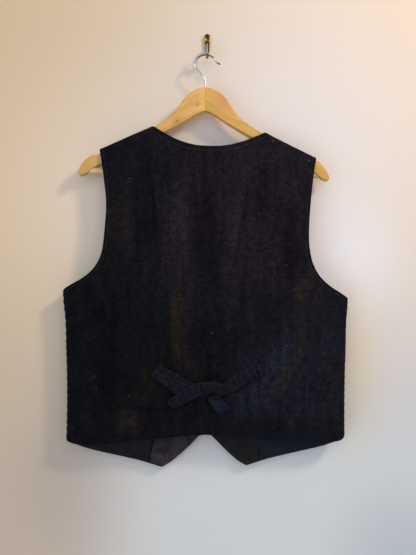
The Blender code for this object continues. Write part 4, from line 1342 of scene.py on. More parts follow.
def inset_line(line, inset, steps):
    """Points beside an edge of the cut, at one distance from it, on its inner side."""
    points = []
    for step in range(steps + 1):
        part = step / steps
        ahead = line(min(part + 0.004, 1.0)) - line(max(part - 0.004, 0.0))
        points.append(line(part) + right_of(ahead) * inset)
    return points


def even_points(points, pitch):
    """Walk along a line and give (place, direction) at every pitch."""
    walked, due, found = 0.0, pitch / 2, []
    for a, b in zip(points, points[1:]):
        stretch = (b - a).length
        while due <= walked + stretch and stretch > 0:
            found.append((a.lerp(b, (due - walked) / stretch), (b - a).normalized()))
            due += pitch
        walked += stretch
    return found


def bead(points, faces, start, end, outward, radius, sides=6):
    """One stitch: a short plump thread between two points, sunk at its ends."""
    axis = (end - start).normalized()
    across = axis.cross(outward).normalized()
    first = len(points)
    points.append(start - outward * radius * 0.9)
    for part, swell in ((0.16, 0.72), (0.5, 1.0), (0.84, 0.72)):
        centre = start.lerp(end, part) + outward * radius * 0.5 * swell
        for side in range(sides):
            angle = tau * side / sides
            points.append(centre + (across * cos(angle) + outward * sin(angle)) * radius * swell)
    points.append(end - outward * radius * 0.9)
    for side in range(sides):
        after = (side + 1) % sides
        faces.append((first, first + 1 + after, first + 1 + side))
        for ring in range(2):
            low = first + 1 + ring * sides
            faces.append((low + side, low + after, low + sides + after, low + sides + side))
        top = first + 1 + 2 * sides
        faces.append((top + side, top + after, first + 1 + 3 * sides))


PROBE = 0.0006                  # how far off the cloth's slope is measured


def surface_frame(form, x, z, lift):
    """Where a point of the cut lies, and the cloth's outward normal there."""
    up = form(x, z + PROBE, lift) - form(x, z - PROBE, lift)
    across = form(x + PROBE, z, lift) - form(x - PROBE, z, lift)
    return form(x, z, lift), across.cross(up).normalized()


def stitch_row(points, faces, form, line, lift, outward_sign=1.0, radius=0.00034):
    pitch = cloth().stitch_length
    for place, ahead in even_points(line, pitch):
        reach = ahead * pitch * 0.34
        start = form(place.x - reach.x, place.y - reach.y, lift)
        end = form(place.x + reach.x, place.y + reach.y, lift)
        _, normal = surface_frame(form, place.x, place.y, lift)
        bead(points, faces, start, end, normal * outward_sign, radius)


BACK_STITCH_SUNK = 0.00045      # how deep the stitches lie in the pile
FRONT_STITCH_SUNK = 0.0003
STRAP_SEWN_AT = (0.0022, 0.0046)    # two rows across the sewn end of a strap


def build_back_stitching():
    look = cloth()
    points, faces = [], []
    for line in (inset_line(back_neck_edge, look.topstitch_inset, 260),
                 inset_line(half(armhole_line, 1), -look.armhole_inset, 300),
                 inset_line(half(armhole_line, -1), look.armhole_inset, 300)):
        stitch_row(points, faces, back_form, line[4:-4], BACK_WALL / 2 - BACK_STITCH_SUNK)
    for name in ("tie_left", "tie_right"):
        sewn, after = STRAPS[name][:2]
        base = Vector(sewn[:2])
        axis = (Vector(after[:2]) - base).normalized()
        reach = right_of(axis) * sewn.width * -0.42
        for inwards in STRAP_SEWN_AT:
            middle = base + axis * inwards
            line = [(middle - reach).lerp(middle + reach, step / 20) for step in range(21)]
            stitch_row(points, faces, back_form, line, BACK_WALL / 2 + 0.0014 + sewn.thick)
    return face_outwards(add_mesh("back_topstitching", points, faces))


def build_front_stitching(name, hand):
    inset = cloth().armhole_inset
    points, faces = [], []
    for line in (inset_line(front_armhole_edge, -inset, 300), inset_line(front_closing_edge, inset, 120),
                 inset_line(front_neck_line, inset, 200)):
        stitch_row(points, faces, partial(front_form, hand), line[3:-3],
                   FRONT_WALL / 2 - FRONT_STITCH_SUNK, -hand)
    return face_outwards(add_mesh(name, points, faces))


# --- lint caught in the pile
LINT_CLUSTERS = (               # x, z, spread and share of the specks
    (-0.09, -0.31, 0.055, 0.26), (-0.12, -0.215, 0.045, 0.1), (0.01, -0.3, 0.07, 0.12),
    (0.11, -0.26, 0.06, 0.12), (0.09, -0.4, 0.08, 0.14), (-0.06, -0.5, 0.09, 0.12),
    (0.12, -0.64, 0.07, 0.08), (-0.19, -0.62, 0.04, 0.06),
)
LINT_SIZE = (0.0004, 0.001)
LINT_LIFT = 0.0003
LINT_SPOTS = (                  # larger specks, in mm: place and size
    (10.5, -529, 2.2), (-83.5, -595, 2.4), (-78.5, -590, 1.7), (-79.5, -601, 1.6), (-196, -605, 1.8),
    (-192, -626, 2.2), (-135, -639, 2.2), (-156, -632, 1.4), (16, -587, 1.3), (-139, -262, 1.8),
    (-101, -296, 1.5), (-42, -342, 1.4), (48, -245, 1.2), (112, -383, 1.2), (148, -679, 1.6),
    (113.2, -187.2, 4), (177.8, -220, 4.4),        # cord ends coming over the shoulder seam
)


def scrap(points, faces, here, normal, size, rng):
    """A crumb of lint: a flattened, uneven double pyramid."""
    side = normal.orthogonal().normalized()
    other = normal.cross(side)
    first = len(points)
    turn = rng.uniform(0, tau)
    for step in range(5):
        a, b = ray(turn + tau * step / 5, size * 0.5 * rng.uniform(0.45, 1.0))
        points.append(here + side * a + other * b * 0.7)
    points.append(here + normal * size * 0.22)
    points.append(here - normal * size * 0.18)
    for step in range(5):
        after = (step + 1) % 5
        faces.append((first + step, first + after, first + 5))
        faces.append((first + after, first + step, first + 6))


def build_lint():
    rng = random.Random(41)
    points, faces = [], []
    lift = BACK_WALL / 2 + LINT_LIFT
    for middle_x, middle_z, spread, part in LINT_CLUSTERS:
        for _ in range(int(cloth().tuft_count * part)):
            x, z = rng.gauss(middle_x, spread), rng.gauss(middle_z, spread)
            size = rng.uniform(*LINT_SIZE) * (1.4 if rng.random() < 0.08 else 1.0)
            if abs(x) < min(tube_half_width(z), 0.17 if z > -0.45 else 0.24) - 0.02 and -0.69 < z < -0.225:
                scrap(points, faces, *surface_frame(back_form, x, z, lift), size, rng)
    for spot in LINT_SPOTS:
        x, z, size = (value / 1000 for value in spot)
        on_strap = -0.09 < x < -0.07 and -0.61 < z < -0.585
        extra = 0.0034 if on_strap else 0.0
        scrap(points, faces, *surface_frame(back_form, x, z, lift + extra), size, rng)
    return face_outwards(add_mesh("lint_specks", points, faces, smooth=False))


# --- embroidery on the fronts
VINE_WAVE = 0.052               # one full wave of the vine
VINE_SWING = 0.0062
VINE_INSET = 0.0175
CORD_RADIUS = 0.00075
SPRIGS = marks((78, -452), (94, -545), (100, -640))


class Needlework:
    """Raised threadwork laid over one front."""

    def __init__(self, hand):
        self.hand = hand
        self.points = []
        self.faces = []
        self.lift = FRONT_WALL / 2

    def on_cloth(self, x, z, lift=0.0):
        return front_form(self.hand, x, z, self.lift + lift)

    def cord(self, line, radius=CORD_RADIUS, sides=6):
        """A couched cord along points of the cut."""
        rings = []
        for index, place in enumerate(line):
            ahead = line[min(index + 1, len(line) - 1)] - line[max(index - 1, 0)]
            side = -right_of(ahead)
            taper = radius * max(rounding(1.0 - min(min(index, len(line) - 1 - index) / 2.0, 1.0)), 0.3)
            ring = []
            for step in range(sides):
                across, up = ray(tau * step / sides, taper)
                at = place + side * across
                ring.append(self.on_cloth(at.x, at.y, 0.35 * taper + up))
            rings.append(ring)
        loft(self.points, self.faces, rings)

    def leaf(self, place, angle, reach, width, height=0.0011):
        """A padded leaf in satin stitch, with a furrow down its middle."""
        axis = ray(angle)
        side = -right_of(axis)
        steps, across = 8, (-1.0, -0.62, -0.16, 0.0, 0.16, 0.62, 1.0)
        rings = []
        for step in range(steps + 1):
            part = step / steps
            spine = place + axis * reach * part
            half_width = width / 2 * max(sin(pi * part ** 0.8), 0.04)
            ring = []
            for share_across in across:
                at = spine + side * half_width * share_across
                dome = height * max(1.0 - share_across ** 2, 0.0) ** 0.5 * max(sin(pi * part), 0.12)
                ring.append(self.on_cloth(at.x, at.y, dome * (0.45 if share_across == 0.0 else 1.0)))
            for share_across in (0.98, -0.98):
                at = spine + side * half_width * share_across
                ring.append(self.on_cloth(at.x, at.y, -0.0003))
            rings.append(ring)
        loft(self.points, self.faces, rings)

    def flower(self, place, turn, reach, petals=5):
        for petal in range(petals):
            angle = turn + tau * petal / petals
            self.leaf(place + ray(angle, reach * 0.22), angle, reach * 0.8, reach * 0.56)

    def curl(self, place, angle, reach, hand):
        """A tendril that winds in on itself."""
        line, at, heading = [], Vector(place), angle
        for step in range(18):
            line.append(at.copy())
            at = at + ray(heading, reach * (1.0 - step / 24.0))
            heading += hand * (0.1 + step * 0.03)
        self.cord(line, CORD_RADIUS * 0.75, 5)

    def finish(self, name):
        return face_outwards(add_mesh(name, self.points, self.faces))


def vine_path(points, inset):
    """The wavy stem beside an edge: its points, and the crest of each wave with its heading."""
    stem, crests = [], []
    walked = 0.0
    for a, b in zip(points, points[1:]):
        stem.append(a + right_of(b - a) * (inset + VINE_SWING * sin(tau * walked / VINE_WAVE)))
        walked += (b - a).length
    for number, (place, ahead) in enumerate(even_points(points, VINE_WAVE / 2)):
        side = right_of(ahead)
        hand = 1 if number % 2 == 0 else -1
        crests.append((place + side * (inset + VINE_SWING * hand * 0.85), ahead, side, hand, number))
    return stem, crests


def embroider(hand):
    gold, cream = Needlework(hand), Needlework(hand)

    front_line = [front_closing_edge(step / 110) for step in range(110)]
    front_line += [front_neck_line(step / 110) for step in range(111)]
    arm_line = [front_armhole_edge(1.0 - step / 150) for step in range(151)]
    for points, inset in ((front_line, VINE_INSET), (arm_line, VINE_INSET - 0.003)):
        length_of = sum((b - a).length for a, b in zip(points, points[1:]))
        for thread, aside, radius in ((gold, -0.0095, CORD_RADIUS), (cream, 0.0105, CORD_RADIUS * 0.8)):
            border = [a + right_of(b - a) * (inset + aside) for a, b in zip(points, points[1:])]
            thread.cord(border[1:-1], radius)
        stem, crests = vine_path(points, inset)
        gold.cord(stem[2:-2])
        for place, ahead, side, sign, number in crests:
            if not 0.35 < (number + 0.5) / 2 < length_of / VINE_WAVE - 0.2:
                continue
            heading = atan2(ahead.y, ahead.x)
            inward = side * -sign
            centre = place + inward * 0.0075
            if number % 2 == 0:
                cream.flower(centre, heading + number, 0.0062)
                gold.flower(centre, heading + number + pi / 5, 0.003)
            else:
                gold.leaf(place + inward * 0.001, heading + sign * 0.85, 0.0125, 0.0062)
                gold.leaf(place + inward * 0.001, heading + sign * 2.15, 0.0105, 0.0052)
                cream.curl(centre, heading - sign * 0.6, 0.0017, -sign)
            gold.leaf(place, heading - sign * 0.55, 0.0085, 0.0042)
            gold.leaf(place, heading + pi + sign * 0.55, 0.0085, 0.0042)
    for sprig in SPRIGS:
        centre = Vector(sprig)
        cream.flower(centre, 0.3, 0.0125, 6)
        gold.flower(centre, 0.3 + pi / 6, 0.006, 6)
        for number in range(4):
            angle = pi / 4 + number * pi / 2
            gold.leaf(centre + ray(angle, 0.013), angle, 0.017, 0.008)
    return gold, cream


# --- buttons
def select_faces(item, wanted):
    """In edit mode, leave only the faces selected whose centre and normal are wanted."""
    builder = bmesh.from_edit_mesh(item.data)
    for face in builder.faces:
        face.select_set(False)
    for face in builder.faces:
        if wanted(face.calc_center_median(), face.normal):
            face.select_set(True)
    bmesh.update_edit_mesh(item.data)


def round_edges(item, wanted, offset, segments, **more):
    """In edit mode, round off the edges whose two ends are wanted."""
    bpy.ops.mesh.select_mode(type="EDGE")
    bpy.ops.mesh.select_all(action="DESELECT")
    builder = bmesh.from_edit_mesh(item.data)
    for line in builder.edges:
        if wanted(line.verts[0].co, line.verts[1].co):
            line.select_set(True)
    bmesh.update_edit_mesh(item.data)
    bpy.ops.mesh.bevel(offset=offset, segments=segments, profile=0.5, affect="EDGES", **more)


BUTTON_STEPS = (                # from the rim inwards: step in as a share of the radius, rise of the depth
    (0.05, 0.3), (0.1, 0.0), (0.07, -0.42), (0.08, 0.0), (0.1, 0.22), (0.18, 0.13), (0.18, 0.05),
)


def build_button(name, low, high):
    """A small gilt button: a rolled rim, a sunk ring and a low dome, turned to face the wall."""
    radius, depth = (high.x - low.x) / 2, high.y - low.y
    drum = depth * 0.62
    button = add(bpy.ops.mesh.primitive_cylinder_add, name, vertices=48, radius=radius * 0.96, depth=drum,
                 location=(0, 0, drum / 2))
    switch("EDIT")
    bpy.ops.mesh.select_mode(type="FACE")
    select_faces(button, lambda centre, normal: normal.z > 0.9 and centre.z > drum * 0.9)
    for step_in, rise in BUTTON_STEPS:
        bpy.ops.mesh.inset(thickness=radius * step_in, depth=0.0)
        bpy.ops.transform.translate(value=(0, 0, depth * rise))
    round_edges(button, lambda a, b: abs(a.z - b.z) < 1e-6 and abs(a.length - b.length) < 1e-6
                and Vector((a.x, a.y)).length > radius * 0.62, depth * 0.09, 2)
    switch("OBJECT")
    return set_down(button, ((low.x + high.x) / 2, low.y, (low.z + high.z) / 2), (radians(-90), 0, 0))


# --- hanger, in its own frame: the top of its head is its origin, then turned and set in place
HANGER_AT = Vector((-0.0029, -0.024, -0.096))
HANGER_TURN_DEG = 1.25
ARM_THICK = 0.015
HEAD_TOP = marks((0.15, 0), (8, -0.6), (15, -2.9), (27, -10), (37, -19.2), (44, -29.4), (51.8, -40.8),
    (62.5, -53), (77, -64), (91.5, -73.2), (103.6, -80), (143, -98.9), (180, -116.7))
ARM_END = marks((183.5, -118.4), (186, -121.8), (192, -124.6), (194.5, -123.6), (198.5, -125), (206, -129),
    (212.5, -135), (217.2, -142), (220.5, -149), (222.6, -156), (220, -160.3), (212, -158.8), (206, -155.2),
    (200, -150), (194, -146.2))
ARM_BELOW = marks((186, -141.2), (133, -113.5), (80, -85.8), (50, -69), (35, -60), (20, -50.5), (8, -44),
    (0.15, -42.2))
BAR_RADIUS = 0.0057
BORE_PLAY = 0.0002
BAR_HALF = 0.208
BAR_HEIGHT = -0.15
LOOP_AT = Mark(-0.0009, 0.0402)
LOOP_RADIUS = 0.02
LOOP_SWEEP_DEG = 152
WIRE_POINTS = 190
WIRE_STEM = marks((0, -22), (0, 0), (-0.8, 8), (-2.8, 18.2), (-3.4, 19.7), (-4.4, 21), (-11, 28.4),
    (-18, 36.2), (-19.4, 37.9), (-20.3, 39.6), (-20.8, 41.6))
WIRE_FLARE = marks((19, 7.2), (20.6, 6.2), (23.2, 5), (26.2, 3))      # from the loop's middle
# where the wire bends, with painted highlights there
WIRE_BEND_GLINTS = ((-0.0062, -0.076), (-0.0218, -0.057), (0.014, -0.044))


def into_hanger_place(item):
    return set_down(item, HANGER_AT, (0, radians(HANGER_TURN_DEG), 0))


def trace(name, marks, y):
    """Draw an outline in edit mode, one corner after another, and fill it."""
    item = add(bpy.ops.mesh.primitive_plane_add, name, size=0.001, location=(0, 0, 0))
    switch("EDIT")
    bpy.ops.mesh.select_mode(type="VERT")
    bpy.ops.mesh.merge(type="CENTER")
    bpy.ops.transform.translate(value=(marks[0][0], y, marks[0][1]))
    for before, after in zip(marks, marks[1:]):
        step = (after[0] - before[0], 0.0, after[1] - before[1])
        bpy.ops.mesh.extrude_vertices_move(TRANSFORM_OT_translate={"value": step})
    bpy.ops.mesh.select_all(action="SELECT")
    bpy.ops.mesh.edge_face_add()
    return item


def combine(item, other, operation="DIFFERENCE"):
    """Cut one object out of another, or join it on, and throw it away."""
    step = item.modifiers.new("combine", "BOOLEAN")
    step.operation = operation
    step.object = other
    apply_modifiers(item)
    bpy.data.objects.remove(other, do_unlink=True)
    return item


def build_arm(name, hand):
    outline = []
    for run, count in ((HEAD_TOP, 44), (ARM_END, 40), (ARM_BELOW, 30)):
        line = smooth_line(run)
        outline += [line(step / (count - 1)) for step in range(count)]
    outline = [(hand * mark.x, mark.y) for mark in outline]
    arm = trace(name, outline, -ARM_THICK / 2)
    bpy.ops.mesh.extrude_region_move(TRANSFORM_OT_translate={"value": (0.0, ARM_THICK, 0.0)})
    bpy.ops.mesh.select_all(action="SELECT")
    bpy.ops.mesh.normals_make_consistent(inside=False)
    round_edges(arm, lambda a, b: abs(a.y - b.y) < 1e-6 and max(abs(a.x), abs(b.x)) > 0.0004,
                hanger().arm_edge, 5, clamp_overlap=True)
    bore = add(bpy.ops.mesh.primitive_cylinder_add, "bore", vertices=32, radius=BAR_RADIUS + BORE_PLAY,
               depth=BAR_HALF * 2, location=(0, 0, BAR_HEIGHT), rotation=(0, radians(90), 0))
    return into_hanger_place(combine(arm, bore))


def bent_rod(name, route, radius, radii, sides):
    """A rod along a route, thinner or thicker by the radii at its points, made solid."""
    item = add(bpy.ops.curve.primitive_bezier_curve_add, name)
    shape = item.data
    shape.splines.clear()
    shape.dimensions = "3D"
    shape.bevel_depth = radius
    shape.bevel_resolution = sides // 2
    shape.use_fill_caps = True
    line = shape.splines.new("POLY")
    line.points.add(len(route) - 1)
    for point, place, thick in zip(line.points, route, radii):
        point.co = (*place, 1.0)
        point.radius = thick
    pick(item)
    bpy.ops.object.convert(target="MESH")
    edit_whole(item)
    bpy.ops.mesh.remove_doubles(threshold=0.000005)
    return face_outwards(item)


def rounded_end(count, last, reach):
    """Radii along a rod: full, then a rounded tip over its last few points."""
    radii = [1.0] * count
    for step in range(reach):
        radii[count - reach + step] = max(rounding((step + 1) / reach * last), 0.06)
    return radii


def build_wire():
    """Out of the head with two sharp bends, round over the wall hook and down to a flared end."""
    middle = Vector(LOOP_AT)
    stem = [Vector(mark) for mark in WIRE_STEM]
    for step in range(1, 13):
        stem.append(middle + ray(radians(180 - LOOP_SWEEP_DEG * step / 12), LOOP_RADIUS))
    stem += [middle + Vector(mark) for mark in WIRE_FLARE]
    line = smooth_line([(place.x, 0.0, place.y) for place in stem])
    route = [line(step / (WIRE_POINTS - 1)) for step in range(WIRE_POINTS)]
    radii = rounded_end(WIRE_POINTS, 0.995, 4)
    return into_hanger_place(bent_rod("wire_hook", route, hanger().wire_radius, radii, 12))


# --- wall hook
PLATE_THICK = 0.003
PLATE_EDGE = 0.0009
PLATE_TOP = Mark(0.00585, 0.005)
PLATE_WAIST = Mark(0.006, -0.004)
PLATE_FOOT = Mark(0.0042, -0.018)
PRONG_RADIUS = 0.0025
PRONG_POINTS = 120
TROUGH_RADIUS = 0.0074
TROUGH_FLOOR = -0.0404
PRONG_ROOT = -0.0165
PRONG_TIP = -0.019
SCREW_HEIGHT = 0.0064
SCREW_HEAD = 0.0033
SCREW_RISE = 0.0017
SCREW_SLOT = (0.0008, 0.0018)   # width and height of the cutter


def build_plate():
    """Two round ends pulled into one tapered plate, its front rim softened and drilled for screws."""
    def disc(mark):
        return {"vertices": 56, "radius": mark.out, "depth": PLATE_THICK,
                "rotation": (radians(90), 0, 0), "location": (0, -PLATE_THICK / 2, mark.height)}

    plate = in_place(add(bpy.ops.mesh.primitive_cylinder_add, "wall_hook_plate", **disc(PLATE_TOP)))
    switch("EDIT")
    for mark in (PLATE_WAIST, PLATE_FOOT):
        bpy.ops.mesh.primitive_cylinder_add(**disc(mark))
    bpy.ops.mesh.select_all(action="SELECT")
    bpy.ops.mesh.convex_hull()
    bpy.ops.mesh.dissolve_limited(angle_limit=radians(1.0))
    round_edges(plate, lambda a, b: max(a.y, b.y) < -PLATE_THICK * 0.9, PLATE_EDGE, 4, clamp_overlap=True)
    for height in (SCREW_HEIGHT, -SCREW_HEIGHT):
        sink = add(bpy.ops.mesh.primitive_cone_add, "sink", vertices=32, radius1=SCREW_HEAD * 1.12,
                   radius2=SCREW_HEAD * 0.8, depth=0.0008, location=(0, -PLATE_THICK + 0.0002, height),
                   rotation=(radians(-90), 0, 0))
        combine(plate, sink)
    return plate


def build_prong():
    """Out of the plate, down, round under the wire and up in front of it, a little to the right."""
    middle = HANGER_AT.y
    floor = TROUGH_FLOOR + TROUGH_RADIUS
    rear, front = middle + TROUGH_RADIUS, middle - TROUGH_RADIUS
    route = [(0.0, -PLATE_THICK / 2, PRONG_ROOT),
             (0.0, (rear - PLATE_THICK) / 2 - 0.001, PRONG_ROOT - 0.0006),
             (0.0, rear + 0.0022, PRONG_ROOT - 0.0026), (0.0, rear + 0.0003, PRONG_ROOT - 0.007)]
    for step in range(13):
        y, z = ray(pi * step / 12, TROUGH_RADIUS)
        route.append((0.0, middle + y, floor - z))
    route += [(0.0006, front - 0.0004, (floor + PRONG_TIP) / 2), (0.001, front - 0.0012, PRONG_TIP)]
    line = smooth_line(route)
    shares = [step / (PRONG_POINTS - 1) for step in range(PRONG_POINTS)]
    radii = rounded_end(PRONG_POINTS, 0.99, 7)
    for index, part in enumerate(shares):
        radii[index] *= 1.0 + 0.42 * (1.0 - ease(part / 0.16)) + 0.1 * bell(part - 0.96, 0.06)
    return bent_rod("prong", [line(part) for part in shares], PRONG_RADIUS, radii, 14)


def build_screw(name, height, slot_deg):
    """A round-headed screw with a slot across it."""
    screw = add(bpy.ops.mesh.primitive_uv_sphere_add, name, segments=36, ring_count=18, radius=SCREW_HEAD)
    bpy.ops.transform.resize(value=(1.0, 1.0, SCREW_RISE / SCREW_HEAD))
    edit_whole(in_place(screw))
    bpy.ops.mesh.bisect(plane_co=(0, 0, 0.00002), plane_no=(0, 0, 1), use_fill=True, clear_inner=True)
    slot = add(bpy.ops.mesh.primitive_cube_add, "slot", size=1.0, location=(0, 0, SCREW_RISE))
    bpy.ops.transform.resize(value=(SCREW_HEAD * 3, *SCREW_SLOT))
    combine(screw, set_down(slot, (0, 0, SCREW_RISE), (0, 0, radians(slot_deg))))
    return set_down(screw, (0, -PLATE_THICK - 0.0002, height), (radians(90), 0, 0))


# --- stage
FLOOR_HEIGHT = -1.75
WALL_AT = 0.0016                # just behind the plane of the mount
WALL_PATCHES = (                # x, z, flatness, radius and tint of soft light and shade on the wall
    (0.27, -0.59, 0.4, 0.09, (1.04, 0.97, 0.8)),
    (0.27, -0.41, 0.8, 0.13, (1.07, 1.13, 1.2)),
    (0.36, -0.96, 0.8, 0.2, (0.78, 0.82, 0.86)),
    (-0.26, -0.8, 0.8, 0.16, (0.88, 0.9, 0.93)),
    (0.1, -0.26, 1.0, 0.5, (1.02, 1.15, 1.42)),
    (-0.26, -0.3, 0.8, 0.3, (1.12, 1.14, 1.22)),
)


def one_sided(name, tint, graded):
    """Paint on the front of a sheet of scenery only; graded paint is painted lamplight and shade: warm,
    cooling to the right and low down, with soft patches.
    """
    made = Finish(name, Roughness=0.9, Specular_IOR_Level=0.2)
    along = made.axes(made.place())
    # Painted lamplight on the wall: warm above, cooler to the right and low down, bluer low in the middle.
    low = made.span(along["Z"], -0.3, -0.85)
    base = made.mix(low, scaled(tint, (0.8, 0.71, 0.57)), scaled(tint, (0.69, 0.635, 0.6)))
    right = made.span(along["X"], -0.42, 0.3)
    cooler = made.mix(low, scaled(tint, (0.93, 0.89, 0.89)), scaled(tint, (0.71, 0.85, 1.12)))
    base = made.mix(right, base, cooler)
    middle_low = made.times(made.span(along["X"], -0.28, -0.05), made.span(along["Z"], -0.62, -0.84))
    base = made.mix(made.times(middle_low, 0.8), base, scaled(tint, (0.83, 0.98, 1.2)))
    # Soft patches of painted light and shade beside and below the waistcoat.
    for x, z, flat, radius, factors in WALL_PATCHES:
        away = made.away(made.place(centre=(x, 0.0, z), scale=(1.0, 0.0, flat)))
        base = made.mix(made.span(away, radius, 0.0), base, factors, "MULTIPLY")
    made.set(Base_Color=base if graded else tint)
    behind = made.node("NewGeometry").outputs["Backfacing"]
    clear = made.node("BsdfTransparent")
    joined = made.node("MixShader")
    for socket, source in zip(joined.inputs, (behind, made.shader.outputs[0], clear.outputs[0])):
        made.put(socket, source)
    made.put(made.tree.nodes["Material Output"].inputs["Surface"], joined.outputs[0])
    return made.material


def scenery(name, size, location, rotation, tint, graded=False):
    sheet = add(bpy.ops.mesh.primitive_plane_add, name, size=1.0, location=location, rotation=rotation)
    sheet.scale = (*size, 1.0)
    in_place(sheet)
    sheet.data.materials.append(one_sided(f"{name}_paint", tint, graded))
    return sheet


LAMP_AIM = Vector((0.0, 0.0, -0.42))
SENSOR_HEIGHT = 24.0            # in mm


def lamp(name, location, size, power, tint):
    light = add(bpy.ops.object.light_add, name, type="AREA", location=location)
    light.rotation_euler = (LAMP_AIM - Vector(location)).to_track_quat("-Z", "Y").to_euler()
    light.data.shape = "RECTANGLE"
    light.data.size, light.data.size_y = size
    light.data.energy = power
    light.data.color = tint
    return light


def build_stage():
    look = bpy.context.scene.waistcoat_stage
    wall_sheet = scenery("stage_wall", (7.0, 4.5), (0.0, WALL_AT, FLOOR_HEIGHT + 2.25),
                         (radians(90), 0, 0), look.wall, graded=True)
    wall_sheet.visible_shadow = False
    scenery("stage_floor", (9.0, 9.0), (0.0, 0.0, FLOOR_HEIGHT), (0, 0, 0), look.floor)
    lamp("warm_lamp", (1.25, -1.05, 0.75), (0.3, 0.3), look.warm_power, (1.0, 0.8, 0.57))
    lamp("cool_window", (-1.7, -1.9, -1.1), (1.8, 1.8), look.cool_power, (0.68, 0.85, 1.0))
    lamp("room_fill", (0.3, -2.4, 0.6), (2.6, 2.0), 20.0, (1.0, 0.97, 0.93))
    lamp("behind_fill", (0.9, 1.9, 0.2), (1.8, 1.8), 22.0, (1.0, 0.97, 0.94))
    lamp("behind_low", (-2.0, 2.2, 0.1), (1.8, 1.8), 20.0, (0.88, 0.94, 1.0))
    world = bpy.data.worlds.new("soft_room")
    bpy.context.scene.world = world
    world.use_nodes = True
    background = world.node_tree.nodes["Background"].inputs
    background["Color"].default_value = (0.93, 0.94, 1.0, 1.0)
    background["Strength"].default_value = 0.42
    bpy.context.scene.view_settings.view_transform = "Standard"
    camera = add(bpy.ops.object.camera_add, "Camera", rotation=(radians(90), 0, 0),
                 location=(look.view_side, -look.view_distance, look.view_height))
    camera.data.sensor_fit = "VERTICAL"
    camera.data.sensor_height = SENSOR_HEIGHT
    camera.data.lens = look.lens
    camera.data.clip_start = 0.05
    bpy.context.scene.camera = camera


def cut_outline(cut, low_u=0.0, high_u=1.0, steps=60):
    """The corners of a piece of the flat cut, once round."""
    span = [step / steps for step in range(steps)]
    width = high_u - low_u
    line = [cut(low_u + width * part, 0.0) for part in span] + [cut(high_u, part) for part in span]
    line += [cut(high_u - width * part, 1.0) for part in span] + [cut(low_u, 1.0 - part) for part in span]
    return line


class WAISTCOAT_OT_stitching(bpy.types.Operator):
    """Sew the topstitching round the neck and armholes of the back, and along the fronts"""
    bl_idname = "waistcoat.stitching"
    bl_label = "Topstitching"

    def execute(self, context):
        finish_piece(build_back_stitching(), "thread")
        for name, hand in (("front_left_topstitching", -1), ("front_right_topstitching", 1)):
            finish_piece(build_front_stitching(name, hand), "thread")
        return {"FINISHED"}


class WAISTCOAT_OT_lint(bpy.types.Operator):
    """Scatter specks of lint over the pile of the back"""
    bl_idname = "waistcoat.lint"
    bl_label = "Lint"

    def execute(self, context):
        finish_piece(build_lint(), "lint")
        return {"FINISHED"}


class WAISTCOAT_OT_embroidery(bpy.types.Operator):
    """Embroider a leafy vine and flowers on both fronts, in gold and cream thread"""
    bl_idname = "waistcoat.embroidery"
    bl_label = "Embroidery"

    def execute(self, context):
        for side, hand in (("left", -1), ("right", 1)):
            gold, cream = embroider(hand)
            finish_piece(gold.finish(f"embroidery_gold_{side}"), "gold")
            finish_piece(cream.finish(f"embroidery_cream_{side}"), "cream")
        return {"FINISHED"}


class WAISTCOAT_OT_back(bpy.types.Operator):
    """Build the one-piece back with its folds, turned edges and pile, with painted warm light and painted
    shade on its folds
    """
    bl_idname = "waistcoat.back"
    bl_label = "Back"

    def execute(self, context):
        panel = finish_piece(build_back(), "velvet", ("back",))
        cut_outline(back_cut)
        return {"FINISHED"}


class WAISTCOAT_OT_fronts(bpy.types.Operator):
    """Build both fronts with their facings and linings"""
    bl_idname = "waistcoat.fronts"
    bl_label = "Fronts"

    def execute(self, context):
        for side, hand in (("left", -1), ("right", 1)):
            node = f"front_{side}"
            panel = build_front(f"{node}_panel", hand)
            finish_piece(panel, "velvet", (node,))
            cut_outline(front_cut)
            for kind in ("facing", "lining"):
                strip = build_strip(f"{node}_{kind}_cloth", hand, kind, finish(kind))
                finish_piece(strip, kind, (f"{node}_{kind}",))
                seam = facing_share(0.5)
                ends = (0.0, seam) if kind == "facing" else (seam, 1.0)
                cut_outline(front_cut, *ends)
        return {"FINISHED"}


class WAISTCOAT_OT_belt(bpy.types.Operator):
    """Build the two straps of the back belt, tied in a half knot"""
    bl_idname = "waistcoat.belt"
    bl_label = "Back belt"

    def execute(self, context):
        for name, stations in STRAPS.items():
            strap = finish_piece(build_strap(name), "strap_velvet", (name,), 50)
        return {"FINISHED"}


class WAISTCOAT_OT_buttons(bpy.types.Operator):
    """Model the gilt buttons of the fronts"""
    bl_idname = "waistcoat.buttons"
    bl_label = "Buttons"

    def execute(self, context):
        for number in range(1, 5):
            low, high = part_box(f"button_{number}")
            button = build_button(f"gilt_button_{number}", low, high)
            finish_piece(button, "gilt", (f"button_{number}",), 40)
        return {"FINISHED"}


class WAISTCOAT_OT_hanger(bpy.types.Operator):
    """Model both arms of the wooden hanger and give the trouser bar its wood"""
    bl_idname = "waistcoat.hanger"
    bl_label = "Hanger arms and bar"

    def execute(self, context):
        for name, node, hand, wood, slot in (
                ("hanger_arm_pale", "hanger_arm_left", -1, "pale_wood", "beech_left"),
                ("hanger_arm_warm", "hanger_arm_right", 1, "warm_wood", "beech_right")):
            finish_piece(build_arm(name, hand), wood, (node,), 38)
        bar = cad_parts["hanger_bar"]
        bar.data.materials.clear()
        bar.data.materials.append(finish("dowel"))
        return {"FINISHED"}


class WAISTCOAT_OT_wire(bpy.types.Operator):
    """Bend the wire hook of the hanger"""
    bl_idname = "waistcoat.wire"
    bl_label = "Wire hook"

    def execute(self, context):
        finish_piece(build_wire(), "wire", ("hanger_hook",), 60)
        return {"FINISHED"}


